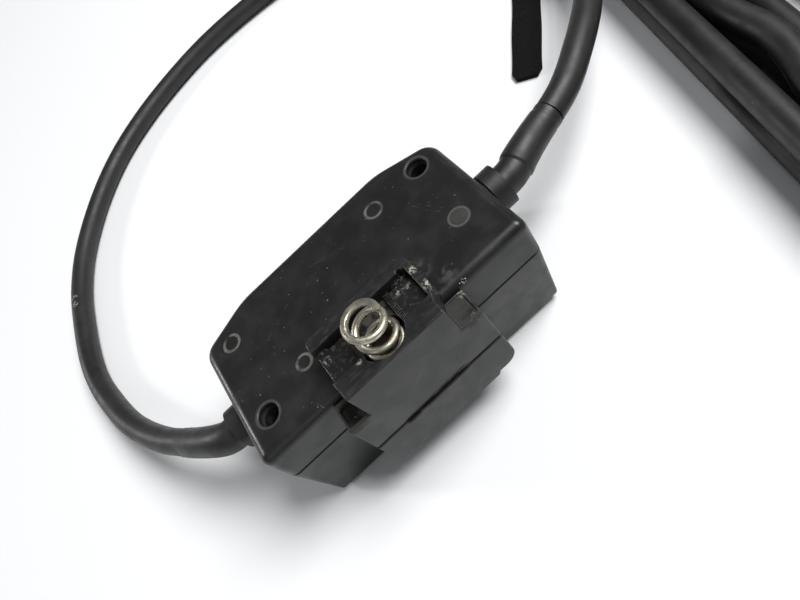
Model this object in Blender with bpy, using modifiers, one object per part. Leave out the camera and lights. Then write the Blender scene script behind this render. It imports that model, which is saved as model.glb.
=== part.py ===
"""Cable shutter release: a two-part switch box with an accessory-shoe foot, a bare contact spring,
two corded exits, a tied hank of cord and the plug on the end of each cord.

World frame: metres, +Z up. X runs along the box, -Y is the side that carries the foot, and z = 0 is
the box's underside, which holds the release button. The driving dimensions below are millimetres.
"""

import math

import bmesh
import bpy
from mathutils import Matrix, Vector

MM = 0.001
GAP = 0.3

# Box
BOX_LENGTH = 55.0
BOX_DEPTH = 30.8
BOX_END_DEPTH = 27.0
BACK_BEND_X = 16.4
BOX_HEIGHT = 25.5
SPLIT_Z = 17.1
WALL = 1.8
FLOOR = 2.2
LOWER_TAPER = 1.2

# Foot on the front of the box, as wide as an accessory shoe's foot
FOOT_REACH = 5.8
FOOT_WIDTH = 18.6
FOOT_TOP_Z = 31.4
FOOT_PLATE_DEPTH = 7.5
FOOT_BASE_Z = 7.0
FOOT_SPLIT_Z = 15.7
LEDGE_Z = 24.6
LEDGE_WIDTH = 4.0
CHANNEL_DEPTH = 2.5
CHANNEL_FRONT = 3.9
CHANNEL_WIDTH = 6.9
POCKET_RADIUS = 4.1
POCKET_FLOOR_Z = 26.6

# Places worked out from the sizes above
FRONT_Y = FOOT_REACH - (BOX_DEPTH + FOOT_REACH) / 2
BACK_Y = FRONT_Y + BOX_DEPTH
AXIS_Y = FRONT_Y + BOX_DEPTH / 2
FOOT_FRONT_Y = FRONT_Y - FOOT_REACH
SPRING_X = 0.1
SPRING_Y = FRONT_Y - 1.0
SCREW_X = 22.4
SCREW_OFFSET_Y = 8.7
SCREWS = {"right": (SCREW_X, AXIS_Y + SCREW_OFFSET_Y), "left": (-SCREW_X, AXIS_Y - SCREW_OFFSET_Y)}

# Springs and button
SPRING_RADIUS = 3.75
SPRING_WIRE = 1.3
SPRING_TOP_Z = 36.0
BUTTON_RADIUS = 5.8
BUTTON_FACE_Z = 0.5
BUTTON_FLANGE_Z = FLOOR + GAP
STEM_TOP_Z = 8.9

# Switch stack over the button
FRAME_Z = 7.9
FRAME_THICKNESS = 1.2
LEAF_THICKNESS = 0.3
HALF_LEAF_Z = 10.7
FULL_LEAF_Z = 11.9
BOARD_Z = 12.5
BOARD_THICKNESS = 1.6

# Cords
CORD_DIAMETER = 5.5
CORD_RADIUS = CORD_DIAMETER / 2
EXIT_Z = 17.0
EXIT_X = 31.6
GLAND_RADIUS = 4.1
HANK_CENTRE = (108.0, -3.0)
HANK_ANGLE = math.radians(74.0)
HANK_STRAIGHT = 90.0
HANK_INNER = 15.0
HANK_OUTER = 35.0
HANK_ALONG = Vector((math.cos(HANK_ANGLE), math.sin(HANK_ANGLE), 0))
HANK_ACROSS = Vector((math.sin(HANK_ANGLE), -math.cos(HANK_ANGLE), 0))
FOLD_CENTRE = Vector(HANK_CENTRE) + HANK_ALONG.xy * (HANK_STRAIGHT / 2)
TIE_TURN = math.radians(9.0)
TIE_WIDTH = 7.0
TIE_THICKNESS = 1.0
TIE_TIP = Vector((56.8, 33.1))
TIE_TIP_HEADING = math.radians(49.8)
TIE_BEND_RADIUS = 10.5
TIE_TIP_TRIM = 1.6
CAMERA_PLUG_RADIUS = 5.4
JACK_RADIUS = 3.5

BOOT_RIGHT_ROUTE = [
    (32.1, 2.9, 17.0), (34.2, 3.2, 17.0), (37.6, 4.6, 17.0), (41.7, 6.0, 17.0), (46.2, 7.2, 17.0),
]
BOOT_LEFT_ROUTE = [
    (-32.1, 2.9, 17.0), (-34.2, 3.3, 16.9), (-37.4, 5.7, 15.9), (-41.2, 9.5, 14.2), (-44.8, 13.6, 12.2),
]
CORD_RIGHT_ROUTE = [
    (46.5, 7.3, 17.0), (50.4, 8.6, 17.1), (54.4, 10.6, 17.2), (58.9, 13.6, 17.2), (63.6, 17.1, 16.9),
    (68.4, 21.4, 16.2), (72.7, 26.4, 15.0), (76.4, 32.0, 13.3), (79.4, 37.9, 11.3), (81.8, 44.0, 9.8),
]
CORD_LEFT_ROUTE = [
    (-45.0, 13.85, 12.1), (-49.6, 19.4, 9.9), (-54.6, 27.0, 7.6), (-58.9, 35.6, 5.6), (-62.0, 44.8, 4.0),
    (-64.2, 54.5, 3.0), (-64.4, 64.0, 2.8), (-62.7, 76.1, 2.8), (-59.8, 88.5, 2.8), (-54.1, 101.3, 2.8),
    (-44.3, 114.4, 2.8), (-32.8, 124.6, 2.8), (-19.3, 131.6, 2.8), (-3.9, 135.9, 2.8), (12.7, 137.6, 2.8),
    (31.6, 135.5, 2.8), (50.0, 130.2, 2.8), (69.0, 120.4, 2.8), (88.0, 106.7, 2.8), (106.0, 92.2, 2.8),
    (122.1, 79.3, 2.8),
]


def clear_scene():
    for thing in list(bpy.data.objects):
        bpy.data.objects.remove(thing)


def collection(name, hidden=False):
    made = bpy.data.collections.new(name)
    bpy.context.scene.collection.children.link(made)
    made.hide_render = hidden
    return made


clear_scene()
PART = collection("cable_shutter_release")
CUTTERS = collection("cutters", hidden=True)


def material(name, colour, roughness, metallic=0.0):
    made = bpy.data.materials.new(name)
    made.use_nodes = True
    shader = made.node_tree.nodes["Principled BSDF"]
    shader.inputs["Base Color"].default_value = (*colour, 1.0)
    shader.inputs["Roughness"].default_value = roughness
    shader.inputs["Metallic"].default_value = metallic
    return made


SHELL_BLACK = material("shell_black", (0.022, 0.023, 0.022), 0.5)
FOOT_BLACK = material("foot_black", (0.03, 0.03, 0.031), 0.45)
CORD_BLACK = material("cord_black", (0.02, 0.02, 0.021), 0.42)
NICKEL = material("aged_nickel", (0.62, 0.57, 0.47), 0.33, 1.0)
STEEL = material("screw_steel", (0.3, 0.3, 0.31), 0.4, 1.0)
BRASS = material("contact_brass", (0.66, 0.49, 0.22), 0.35, 1.0)
BRONZE = material("leaf_bronze", (0.6, 0.36, 0.18), 0.35, 1.0)
BOARD_TAN = material("board_tan", (0.33, 0.2, 0.09), 0.6)
NYLON = material("nylon_natural", (0.68, 0.66, 0.58), 0.5)
WIRE_RED = material("wire_red", (0.45, 0.03, 0.02), 0.45)
WIRE_WHITE = material("wire_white", (0.7, 0.7, 0.68), 0.45)
STRAP_BLACK = material("strap_black", (0.012, 0.012, 0.012), 0.95)


def add(thing, mat, target=PART):
    thing.data.materials.append(mat)
    target.objects.link(thing)
    return thing


def object_from(bm, name, mat):
    """Turns millimetre geometry into an object, in metres."""
    bmesh.ops.recalc_face_normals(bm, faces=bm.faces)
    bmesh.ops.scale(bm, vec=(MM, MM, MM), verts=bm.verts)
    mesh = bpy.data.meshes.new(name)
    bm.to_mesh(mesh)
    bm.free()
    return add(bpy.data.objects.new(name, mesh), mat)


def inset_corners(corners, distance):
    """Moves each side of a convex outline, given anticlockwise, inward by the distance."""
    moved = []
    for i, corner in enumerate(corners):
        before = Vector(corner) - Vector(corners[i - 1])
        after = Vector(corners[(i + 1) % len(corners)]) - Vector(corner)
        before.normalize()
        after.normalize()
        left_before = Vector((-before.y, before.x))
        left_after = Vector((-after.y, after.x))
        shift = (left_before + left_after) / (1 + left_before.dot(left_after))
        moved.append(Vector(corner) + shift * distance)
    return moved


def corner_arc(before, corner, after, radius, steps):
    """The arc that rounds one corner of an outline or a path."""
    to_last = (Vector(before) - Vector(corner)).normalized()
    to_next = (Vector(after) - Vector(corner)).normalized()
    half = to_last.angle(to_next) / 2
    centre = Vector(corner) + (to_last + to_next).normalized() * (radius / math.sin(half))
    start = Vector(corner) + to_last * (radius / math.tan(half)) - centre
    end = Vector(corner) + to_next * (radius / math.tan(half)) - centre
    turn = start.angle_signed(end)
    return [centre + Matrix.Rotation(-turn * k / steps, 2) @ start for k in range(steps + 1)]


def rounded(corners, radii, steps=4):
    """A closed outline whose corners are arcs."""
    points = []
    for i, corner in enumerate(corners):
        after = corners[(i + 1) % len(corners)]
        points += corner_arc(corners[i - 1], corner, after, radii[i % len(radii)], steps)
    return points


def rectangle(x_low, x_high, y_low, y_high):
    return [(x_low, y_low), (x_high, y_low), (x_high, y_high), (x_low, y_high)]


def prism(name, outline, low, high, mat=SHELL_BLACK, along="Z", low_outline=None):
    """An outline carried from low to high along Z, or along Y for an outline of (x, z) points."""
    if along == "Y":
        low, high = -high, -low
    bm = bmesh.new()
    face = bm.faces.new([bm.verts.new((p[0], p[1], low)) for p in low_outline or outline])
    top = bmesh.ops.extrude_face_region(bm, geom=[face])["geom"]
    raised = [item for item in top if isinstance(item, bmesh.types.BMVert)]
    foot = {tuple(v.co): v for v in raised}
    for source, target in zip(low_outline or outline, outline):
        vert = min(foot.values(), key=lambda v: (v.co.xy - Vector(source[:2])).length)
        vert.co = (target[0], target[1], high)
        foot = {key: v for key, v in foot.items() if v is not vert}
    if along == "Y":
        bmesh.ops.rotate(bm, verts=bm.verts, cent=(0, 0, 0), matrix=Matrix.Rotation(math.pi / 2, 3, "X"))
    return object_from(bm, name, mat)


def box(name, low, high, mat=SHELL_BLACK):
    bm = bmesh.new()
    bmesh.ops.create_cube(bm, size=1.0)
    bmesh.ops.scale(bm, vec=[b - a for a, b in zip(low, high)], verts=bm.verts)
    bmesh.ops.translate(bm, vec=[(a + b) / 2 for a, b in zip(low, high)], verts=bm.verts)
    return object_from(bm, name, mat)


def cylinder(name, radius, start, end, mat=SHELL_BLACK, segments=24):
    """A round bar between two points."""
    start = Vector(start)
    span = Vector(end) - start
    bm = bmesh.new()
    bmesh.ops.create_cone(
        bm, cap_ends=True, segments=segments, radius1=radius, radius2=radius, depth=span.length
    )
    turn = Vector((0, 0, 1)).rotation_difference(span.normalized()).to_matrix().to_4x4()
    bmesh.ops.transform(bm, matrix=Matrix.Translation(start + span / 2) @ turn, verts=bm.verts)
    return object_from(bm, name, mat)


def turned(name, profile, location, mat, direction=(0, 0, 1), closed=False, steps=24):
    """Turns (radius, height) points, listed down the outer side, about an axis through the location."""
    mesh = bpy.data.meshes.new(name)
    edges = [(i, i + 1) for i in range(len(profile) - 1)]
    if closed:
        edges.append((len(profile) - 1, 0))
    mesh.from_pydata([(r * MM, 0, z * MM) for r, z in profile], edges, [])
    thing = add(bpy.data.objects.new(name, mesh), mat)
    thing.location = Vector(location) * MM
    thing.rotation_mode = "QUATERNION"
    thing.rotation_quaternion = Vector((0, 0, 1)).rotation_difference(Vector(direction).normalized())
    screw = thing.modifiers.new("turn", "SCREW")
    screw.steps = steps
    screw.render_steps = steps
    screw.use_merge_vertices = True
    screw.merge_threshold = 0.000001
    return thing


def smooth_route(points, spacing):
    """Points at even steps along a Catmull-Rom curve through the route."""
    knots = [Vector(p) for p in points]
    ends = [2 * knots[0] - knots[1], *knots, 2 * knots[-1] - knots[-2]]
    fine = []
    for before, start, end, after in zip(ends, ends[1:], ends[2:], ends[3:]):
        for k in range(20):
            t = k / 20
            fine.append(0.5 * (
                2 * start + (end - before) * t
                + (2 * before - 5 * start + 4 * end - after) * t**2
                + (3 * start - before - 3 * end + after) * t**3
            ))
    fine.append(knots[-1])
    length = sum((b - a).length for a, b in zip(fine, fine[1:]))
    count = max(2, round(length / spacing))
    picked = [fine[0]]
    walked = 0.0
    for a, b in zip(fine, fine[1:]):
        walked += (b - a).length
        if len(picked) < count and walked >= length * len(picked) / count:
            picked.append(b)
    return picked + [fine[-1]]


def tube(name, points, radius, mat, radii=None, resolution=2):
    """A round bar along the points; radii scale it at each of them."""
    curve = bpy.data.curves.new(name, "CURVE")
    curve.dimensions = "3D"
    curve.bevel_depth = radius * MM
    curve.bevel_resolution = resolution
    curve.use_fill_caps = True
    spline = curve.splines.new("POLY")
    spline.points.add(len(points) - 1)
    for i, point in enumerate(points):
        spline.points[i].co = (*(Vector(point) * MM), 1.0)
        spline.points[i].radius = radii[i] if radii else 1.0
    return add(bpy.data.objects.new(name, curve), mat)


def flat(name, outlines, thickness, mat):
    """A filled 2D curve; an outline inside another is a hole."""
    curve = bpy.data.curves.new(name, "CURVE")
    curve.dimensions = "2D"
    curve.fill_mode = "BOTH"
    curve.extrude = thickness * MM / 2
    for outline in outlines:
        spline = curve.splines.new("POLY")
        spline.points.add(len(outline) - 1)
        for point, target in zip(outline, spline.points):
            target.co = (point[0] * MM, point[1] * MM, 0, 1)
        spline.use_cyclic_u = True
    return add(bpy.data.objects.new(name, curve), mat)


def as_helper(thing):
    thing.hide_render = True
    thing.display_type = "WIRE"
    for holder in list(thing.users_collection):
        holder.objects.unlink(thing)
    CUTTERS.objects.link(thing)
    return thing


def combine(thing, helper, operation):
    step = thing.modifiers.new(helper.name, "BOOLEAN")
    step.operation = operation
    step.object = as_helper(helper)
    return thing


def cut(thing, *helpers):
    for helper in helpers:
        combine(thing, helper, "DIFFERENCE")
    return thing


def join(thing, *helpers):
    for helper in helpers:
        combine(thing, helper, "UNION")
    return thing


def soften(thing, width, segments=2, angle=50):
    step = thing.modifiers.new("soft_edges", "BEVEL")
    step.width = width * MM
    step.segments = segments
    step.limit_method = "ANGLE"
    step.angle_limit = math.radians(angle)
    return thing


def box_corners(distance=0.0):
    half = BOX_LENGTH / 2
    corners = [
        (-half, FRONT_Y), (half, FRONT_Y), (half, FRONT_Y + BOX_END_DEPTH),
        (BACK_BEND_X, BACK_Y), (-BACK_BEND_X, BACK_Y), (-half, FRONT_Y + BOX_END_DEPTH),
    ]
    return inset_corners(corners, distance)


def box_outline(distance=0.0):
    trim = min(distance, 1.0)
    radii = [1.6 - trim, 1.6 - trim, 3.4 - trim, 6.0, 6.0, 3.4 - trim]
    return rounded(box_corners(distance), radii, 3)


def gland_holes(tag, radius):
    reach = BOX_LENGTH / 2 + 2
    inner = BOX_LENGTH / 2 - 4
    holes = []
    for side, sign in (("right", 1), ("left", -1)):
        start, end = (sign * inner, AXIS_Y, EXIT_Z), (sign * reach, AXIS_Y, EXIT_Z)
        holes.append(cylinder(f"{tag}_hole_{side}", radius, start, end))
    return holes


def make_upper_shell():
    low = SPLIT_Z + GAP / 2
    roof = BOX_HEIGHT - WALL
    shell = prism("upper_shell", box_outline(), low, BOX_HEIGHT)
    soften(shell, 0.7, 2)
    cut(shell, prism("upper_room", box_outline(WALL), low - 2, roof))
    for side, (x, y) in SCREWS.items():
        join(shell, cylinder(f"upper_boss_{side}", 3.3, (x, y, low), (x, y, roof + 0.5)))
    for side, (x, y) in SCREWS.items():
        cut(
            shell,
            cylinder(f"head_recess_{side}", 2.1, (x, y, BOX_HEIGHT - 0.6), (x, y, BOX_HEIGHT + 2)),
            cylinder(f"head_way_{side}", 1.75, (x, y, 19.6), (x, y, BOX_HEIGHT - 0.1)),
            cylinder(f"shank_way_{side}", 1.1, (x, y, low - 1), (x, y, 20.0)),
        )
    cut(shell, *gland_holes("upper", 3.3))
    for x in (-6.6, 6.6):
        cut(shell, cylinder(f"peg_hole_{x:.0f}", 1.3, (x, FRONT_Y + 5, roof - 1), (x, FRONT_Y + 5, 27)))
    for x in (-9.0, 9.0):
        cut(shell, cylinder(f"side_hole_{x:.0f}", 1.3, (x, FRONT_Y - 1, 20.5), (x, FRONT_Y + 3, 20.5)))
    start, end = (SPRING_X, FRONT_Y - 1, 21.6), (SPRING_X, FRONT_Y + 3, 21.6)
    return cut(shell, cylinder("wire_way", 1.0, start, end))


def make_lower_shell():
    high = SPLIT_Z - GAP / 2
    shell = prism("lower_shell", box_outline(), 0, high, low_outline=box_outline(LOWER_TAPER))
    soften(shell, 0.8, 2)
    room = prism(
        "lower_room", box_outline(WALL), FLOOR, high + 2, low_outline=box_outline(WALL + LOWER_TAPER)
    )
    cut(shell, room)
    for side, (x, y) in SCREWS.items():
        join(shell, cylinder(f"lower_boss_{side}", 2.9, (x, y, FLOOR - 0.5), (x, y, high)))
    for x in (-13.5, 13.5):
        foot, top = (x, AXIS_Y, FLOOR - 0.5), (x, AXIS_Y, FRAME_Z - GAP)
        join(shell, cylinder(f"frame_post_{x:.0f}", 1.8, foot, top))
    for x in (-17.5, 17.5):
        foot, top = (x, AXIS_Y, FLOOR - 0.5), (x, AXIS_Y, BOARD_Z - GAP)
        join(shell, cylinder(f"board_post_{x:.0f}", 1.6, foot, top))
    for side, (x, y) in SCREWS.items():
        cut(shell, cylinder(f"thread_way_{side}", 1.1, (x, y, 5.5), (x, y, high + 1)))
    cut(
        shell,
        cylinder("finger_dish", 9.0, (0, AXIS_Y, -1), (0, AXIS_Y, 0.7), segments=40),
        cylinder("button_way", BUTTON_RADIUS + GAP, (0, AXIS_Y, -1), (0, AXIS_Y, FLOOR + 1), segments=40),
        *gland_holes("lower", 3.3),
    )
    for x in (-9.0, 9.0):
        cut(shell, cylinder(f"low_side_hole_{x:.0f}", 1.3, (x, FRONT_Y - 1, 11), (x, FRONT_Y + 4, 11)))
    return shell


def foot_side_outline(low, high, rounding):
    """The foot's broad lower body, seen from the front."""
    half = FOOT_WIDTH / 2 + LEDGE_WIDTH
    return rounded(rectangle(-half, half, low, high), rounding, 3)


def make_foot_upper():
    back = FRONT_Y - GAP
    half = FOOT_WIDTH / 2
    plate_low = BOX_HEIGHT + GAP
    plate_back = FRONT_Y + FOOT_PLATE_DEPTH
    block = prism(
        "foot_upper",
        foot_side_outline(FOOT_SPLIT_Z + GAP / 2, LEDGE_Z, [0.5, 0.5, 0.5, 0.5]),
        FOOT_FRONT_Y, back, FOOT_BLACK, along="Y",
    )
    lip = [(half + 1.1, plate_back - 1.0), (half + 1.3, FRONT_Y + 1), (half, FRONT_Y - 3.0)]
    corners = [(-half, FOOT_FRONT_Y), (half, FOOT_FRONT_Y), (half, FRONT_Y - 3.4), *reversed(lip[:2]),
               (half - 0.4, plate_back), (-half - 0.5, plate_back), (-half - 0.5, FRONT_Y)]
    plate = rounded(corners, [0.4, 0.4, 0.2, 1.5, 0.5, 0.8, 1.0, 0.1], 2)
    neck = rectangle(-half, half, FOOT_FRONT_Y, back)
    join(
        block,
        prism("foot_plate", plate, plate_low, FOOT_TOP_Z),
        prism("foot_neck", neck, LEDGE_Z - 2, plate_low + 1),
    )
    channel_front = FOOT_FRONT_Y + CHANNEL_FRONT
    floor = FOOT_TOP_Z - CHANNEL_DEPTH
    channel = rectangle(-half - 3, half - 0.1, channel_front, channel_front + CHANNEL_WIDTH)
    spring_spot = (SPRING_X, SPRING_Y)
    cut(
        block,
        prism("channel", channel, floor, FOOT_TOP_Z + 2),
        cylinder("pocket", POCKET_RADIUS, (*spring_spot, POCKET_FLOOR_Z), (*spring_spot, 34), segments=36),
        cylinder("pin_way", 1.1, (SPRING_X, FRONT_Y - 3, 20.6), (SPRING_X, FRONT_Y - 3, 28)),
        cylinder("foot_wire_way", 1.0, (SPRING_X, FRONT_Y - 3, 21.6), (SPRING_X, FRONT_Y + 2, 21.6)),
    )
    for side in (-1, 1):
        low, high = sorted((side * (half + 0.5), side * (half + LEDGE_WIDTH - 0.7)))
        recess = rectangle(low, high, FOOT_FRONT_Y + 0.8, back - 0.8)
        cut(block, prism(f"ledge_recess_{side + 1}", rounded(recess, [0.5], 2), LEDGE_Z - 1.0, LEDGE_Z + 1))
    for x in (-6.6, 6.6):
        join(block, cylinder(f"peg_{x:.0f}", 1.0, (x, FRONT_Y + 5, 22.6), (x, FRONT_Y + 5, 27), segments=16))
    for x in (-9.0, 9.0):
        start, end = (x, back - 1, 20.5), (x, FRONT_Y + 1.6, 20.5)
        join(block, cylinder(f"side_peg_{x:.0f}", 1.0, start, end, segments=16))
    return block


def make_foot_lower():
    back = FRONT_Y - GAP
    block = prism(
        "foot_lower",
        foot_side_outline(FOOT_BASE_Z, FOOT_SPLIT_Z - GAP / 2, [2.4, 2.4, 0.4, 0.4]),
        FOOT_FRONT_Y, back, FOOT_BLACK, along="Y",
    )
    boss = rectangle(-FOOT_WIDTH / 2, FOOT_WIDTH / 2, FOOT_FRONT_Y + 0.3, back - 0.3)
    join(block, prism("foot_pad", rounded(boss, [0.8], 2), FOOT_BASE_Z - 1.3, FOOT_BASE_Z + 1))
    for x in (-9.0, 9.0):
        start, end = (x, back - 1, 11), (x, FRONT_Y + 2.4, 11)
        join(block, cylinder(f"low_peg_{x:.0f}", 1.0, start, end, segments=16))
    return block


def coil_points(radius, low, high, turns, closed_turns, pitch_closed, steps=14):
    """A left-hand helix, from its lower end; its first and last part-turns are wound nearly flat."""
    total = round(turns * steps)
    points = []
    active = turns - 2 * closed_turns
    rise = high - low - 2 * closed_turns * pitch_closed
    for i in range(total + 1):
        at = i / steps
        flat_start = min(at, closed_turns)
        flat_end = max(0.0, at - closed_turns - active)
        climb = min(max(at - closed_turns, 0.0), active) / active * rise
        z = low + (flat_start + flat_end) * pitch_closed + climb
        turn = 2 * math.pi * (turns - at)
        points.append((radius * math.cos(turn), radius * math.sin(turn), z))
    return points


def make_contact_parts():
    spot = (SPRING_X, SPRING_Y)
    wire = SPRING_WIRE / 2
    cup_top = POCKET_FLOOR_Z + GAP + 0.5
    low, high = cup_top + GAP + wire, SPRING_TOP_Z - wire
    helix = coil_points(SPRING_RADIUS - wire, low, high, 3.0, 0.6, 0.5)
    spring = tube("contact_spring", [(x, y, z) for x, y, z in helix], wire, NICKEL)
    spring.location = (spot[0] * MM, spot[1] * MM, 0)
    turned("contact_cup", [(0, 0.5), (3.6, 0.5), (3.7, 0.4), (3.7, 0), (0, 0)],
           (*spot, POCKET_FLOOR_Z + GAP), BRASS)
    turned("contact_pin", [(0, 4.8), (0.8, 4.8), (0.8, 0), (0, 0)],
           (SPRING_X, FRONT_Y - 3, 21.5), BRASS, steps=16)
    channel_floor = FOOT_TOP_Z - CHANNEL_DEPTH + GAP
    front = FOOT_FRONT_Y + CHANNEL_FRONT + 0.4
    back = front + CHANNEL_WIDTH - 0.8
    for side, low, high in (("right", 4.9, 8.8), ("left", -9.2, -4.8)):
        outline = rounded(rectangle(low, high, front, back), [0.4], 2)
        prism(f"channel_plate_{side}", outline, channel_floor, channel_floor + 0.5, STEEL)


def make_screws():
    for side, (x, y) in SCREWS.items():
        head = [(0, 1.3), (1.1, 1.3), (1.45, 0.9), (1.45, 0)]
        profile = [*head, (0.8, 0), (0.8, -12.6), (0.3, -13.8), (0, -13.8)]
        screw = turned(f"case_screw_{side}", profile, (x, y, 19.9), STEEL, steps=20)
        slot = box(f"slot_{side}", (-2, -0.22, 0.7), (2, 0.22, 2.0))
        slot.location = screw.location
        slot.rotation_euler.z = 0.6
        cut(screw, slot)


def make_glands():
    wall_out = BOX_LENGTH / 2
    inner_face = wall_out - WALL - LOWER_TAPER / 3 - GAP
    profile = [
        (1.9, EXIT_X), (3.7, EXIT_X), (GLAND_RADIUS, EXIT_X - 0.4), (GLAND_RADIUS, wall_out + GAP),
        (3.0, wall_out + GAP), (3.0, inner_face), (4.2, inner_face), (4.2, inner_face - 1.3),
        (1.9, inner_face - 1.3),
    ]
    for side, sign in (("right", 1), ("left", -1)):
        turned(f"cord_gland_{side}", profile, (0, AXIS_Y, EXIT_Z), CORD_BLACK,
               direction=(sign, 0, 0), closed=True, steps=28)


def make_switch():
    half_length = 15.0
    frame = box("switch_frame", (-half_length, AXIS_Y - 6, FRAME_Z),
                (half_length, AXIS_Y + 6, FRAME_Z + FRAME_THICKNESS), NYLON)
    cut(frame, cylinder("stem_way", 2.4, (0, AXIS_Y, FRAME_Z - 1), (0, AXIS_Y, FRAME_Z + 3)))
    leaf_y = (AXIS_Y - 1.6, AXIS_Y + 1.6)
    for name, z, reach in (("leaf_half_press", HALF_LEAF_Z, -5.0), ("leaf_full_press", FULL_LEAF_Z, -3.0)):
        box(name, (reach, leaf_y[0], z), (11.5, leaf_y[1], z + LEAF_THICKNESS), BRONZE)
    spacer_low = FRAME_Z + FRAME_THICKNESS + GAP
    front, back = leaf_y[0] - 0.8, leaf_y[1] + 0.8
    box("leaf_spacer_lower", (7.5, front, spacer_low), (12.0, back, HALF_LEAF_Z - GAP), NYLON)
    spacer_low = HALF_LEAF_Z + LEAF_THICKNESS + GAP
    box("leaf_spacer_upper", (7.5, front, spacer_low), (12.0, back, FULL_LEAF_Z - GAP), NYLON)
    outline = rounded(rectangle(-19.0, 19.0, AXIS_Y - 8, AXIS_Y + 7), [1.0], 2)
    prism("terminal_board", outline, BOARD_Z, BOARD_Z + BOARD_THICKNESS, BOARD_TAN)


def make_button():
    stem = STEM_TOP_Z
    base = BUTTON_FLANGE_Z
    profile = [
        (0, stem), (1.7, stem), (2.0, stem - 0.3), (2.0, base + 1.0), (7.2, base + 1.0), (7.2, base),
        (BUTTON_RADIUS, base), (BUTTON_RADIUS, BUTTON_FACE_Z + 0.6), (BUTTON_RADIUS - 0.6, BUTTON_FACE_Z),
        (0, BUTTON_FACE_Z + 0.35),
    ]
    turned("release_button", profile, (0, AXIS_Y, 0), FOOT_BLACK, steps=36)
    wire = 0.3
    helix = coil_points(3.2, base + 1.0 + GAP + wire, FRAME_Z - GAP - wire, 3.4, 0.6, 0.3, 12)
    spring = tube("button_spring", helix, wire, NICKEL)
    spring.location = (0, AXIS_Y * MM, 0)


def make_wires():
    board_top = BOARD_Z + BOARD_THICKNESS + GAP + 0.45
    for side, sign in (("right", 1), ("left", -1)):
        for name, offset, mat in (("red", -0.8, WIRE_RED), ("white", 0.8, WIRE_WHITE)):
            route = [
                (sign * 30.5, AXIS_Y + offset, EXIT_Z), (sign * 25.0, AXIS_Y + offset, EXIT_Z),
                (sign * 20.0, AXIS_Y + 2.2 * offset, EXIT_Z - 0.6),
                (sign * 16.0, AXIS_Y + 4 * offset, board_top + 0.6),
                (sign * 13.5, AXIS_Y + 4.6 * offset, board_top),
            ]
            tube(f"wire_{side}_{name}", smooth_route(route, 2.5), 0.45, mat)
    route = [(SPRING_X, FRONT_Y - 1.7, 21.6), (SPRING_X, FRONT_Y + 2.6, 21.5),
             (1.5, FRONT_Y + 6.0, 19.6), (3.0, FRONT_Y + 9.5, board_top + 0.8),
             (3.4, FRONT_Y + 11.5, board_top)]
    tube("wire_contact", smooth_route(route, 2.5), 0.45, WIRE_RED)


def make_boots():
    for side, route in (("right", BOOT_RIGHT_ROUTE), ("left", BOOT_LEFT_ROUTE)):
        points = smooth_route(route, 1.7)
        last = len(points) - 1
        radii = [0.92 + 0.1 * abs(2 * i / last - 0.9) for i in range(last + 1)]
        tube(f"cord_boot_{side}", points, CORD_RADIUS, CORD_BLACK, radii, resolution=3)


def stadium(radius, straight, steps=12):
    points = []
    for end in (1, -1):
        for k in range(steps + 1):
            turn = math.pi * k / steps
            points.append((end * radius * math.cos(turn), end * (straight / 2 + radius * math.sin(turn))))
    return points


def on_hank(across, along, z):
    """A point beside the hank's centre: across its width, along its length, at a height."""
    return Vector((*HANK_CENTRE, z)) + HANK_ACROSS * across + HANK_ALONG * along


def make_hank():
    for side, layer in (("left", 0), ("right", 1)):
        outlines = [stadium(HANK_OUTER, HANK_STRAIGHT), stadium(HANK_INNER, HANK_STRAIGHT)]
        coil = flat(f"coil_{side}", outlines, CORD_DIAMETER, CORD_BLACK)
        height = CORD_RADIUS + layer * (CORD_DIAMETER + GAP)
        coil.location = Vector((*HANK_CENTRE, height)) * MM
        coil.rotation_euler.z = HANK_ANGLE - math.pi / 2


def make_cords():
    spacing = 2.2 * CORD_DIAMETER
    tube("cord_right", smooth_route(CORD_RIGHT_ROUTE, spacing / 2), CORD_RADIUS, CORD_BLACK)
    tube("cord_left", smooth_route(CORD_LEFT_ROUTE, spacing), CORD_RADIUS, CORD_BLACK)


def run(name, route, spacing):
    """A cord tube along a route given beside the hank's centre."""
    return tube(name, smooth_route([on_hank(*stop) for stop in route], spacing), CORD_RADIUS, CORD_BLACK)


def make_tails():
    """The last stretch of each cord, which leaves its coil for the plug inside the hank's loop."""
    start = HANK_INNER - CORD_RADIUS - GAP
    upper = CORD_RADIUS + CORD_DIAMETER + GAP
    run("cord_right_tail",
        [(-start, -40, upper), (-9.6, -30, 7.0), (-7.6, -19, 5.9),
         (-7.0, -6.3, CAMERA_PLUG_RADIUS + 0.2)], 6)
    run("cord_left_tail",
        [(start, 40, CORD_RADIUS), (9.6, 29, 2.9), (7.6, 18, 3.4), (7.0, 6.3, JACK_RADIUS + 0.2)], 6)


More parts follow.
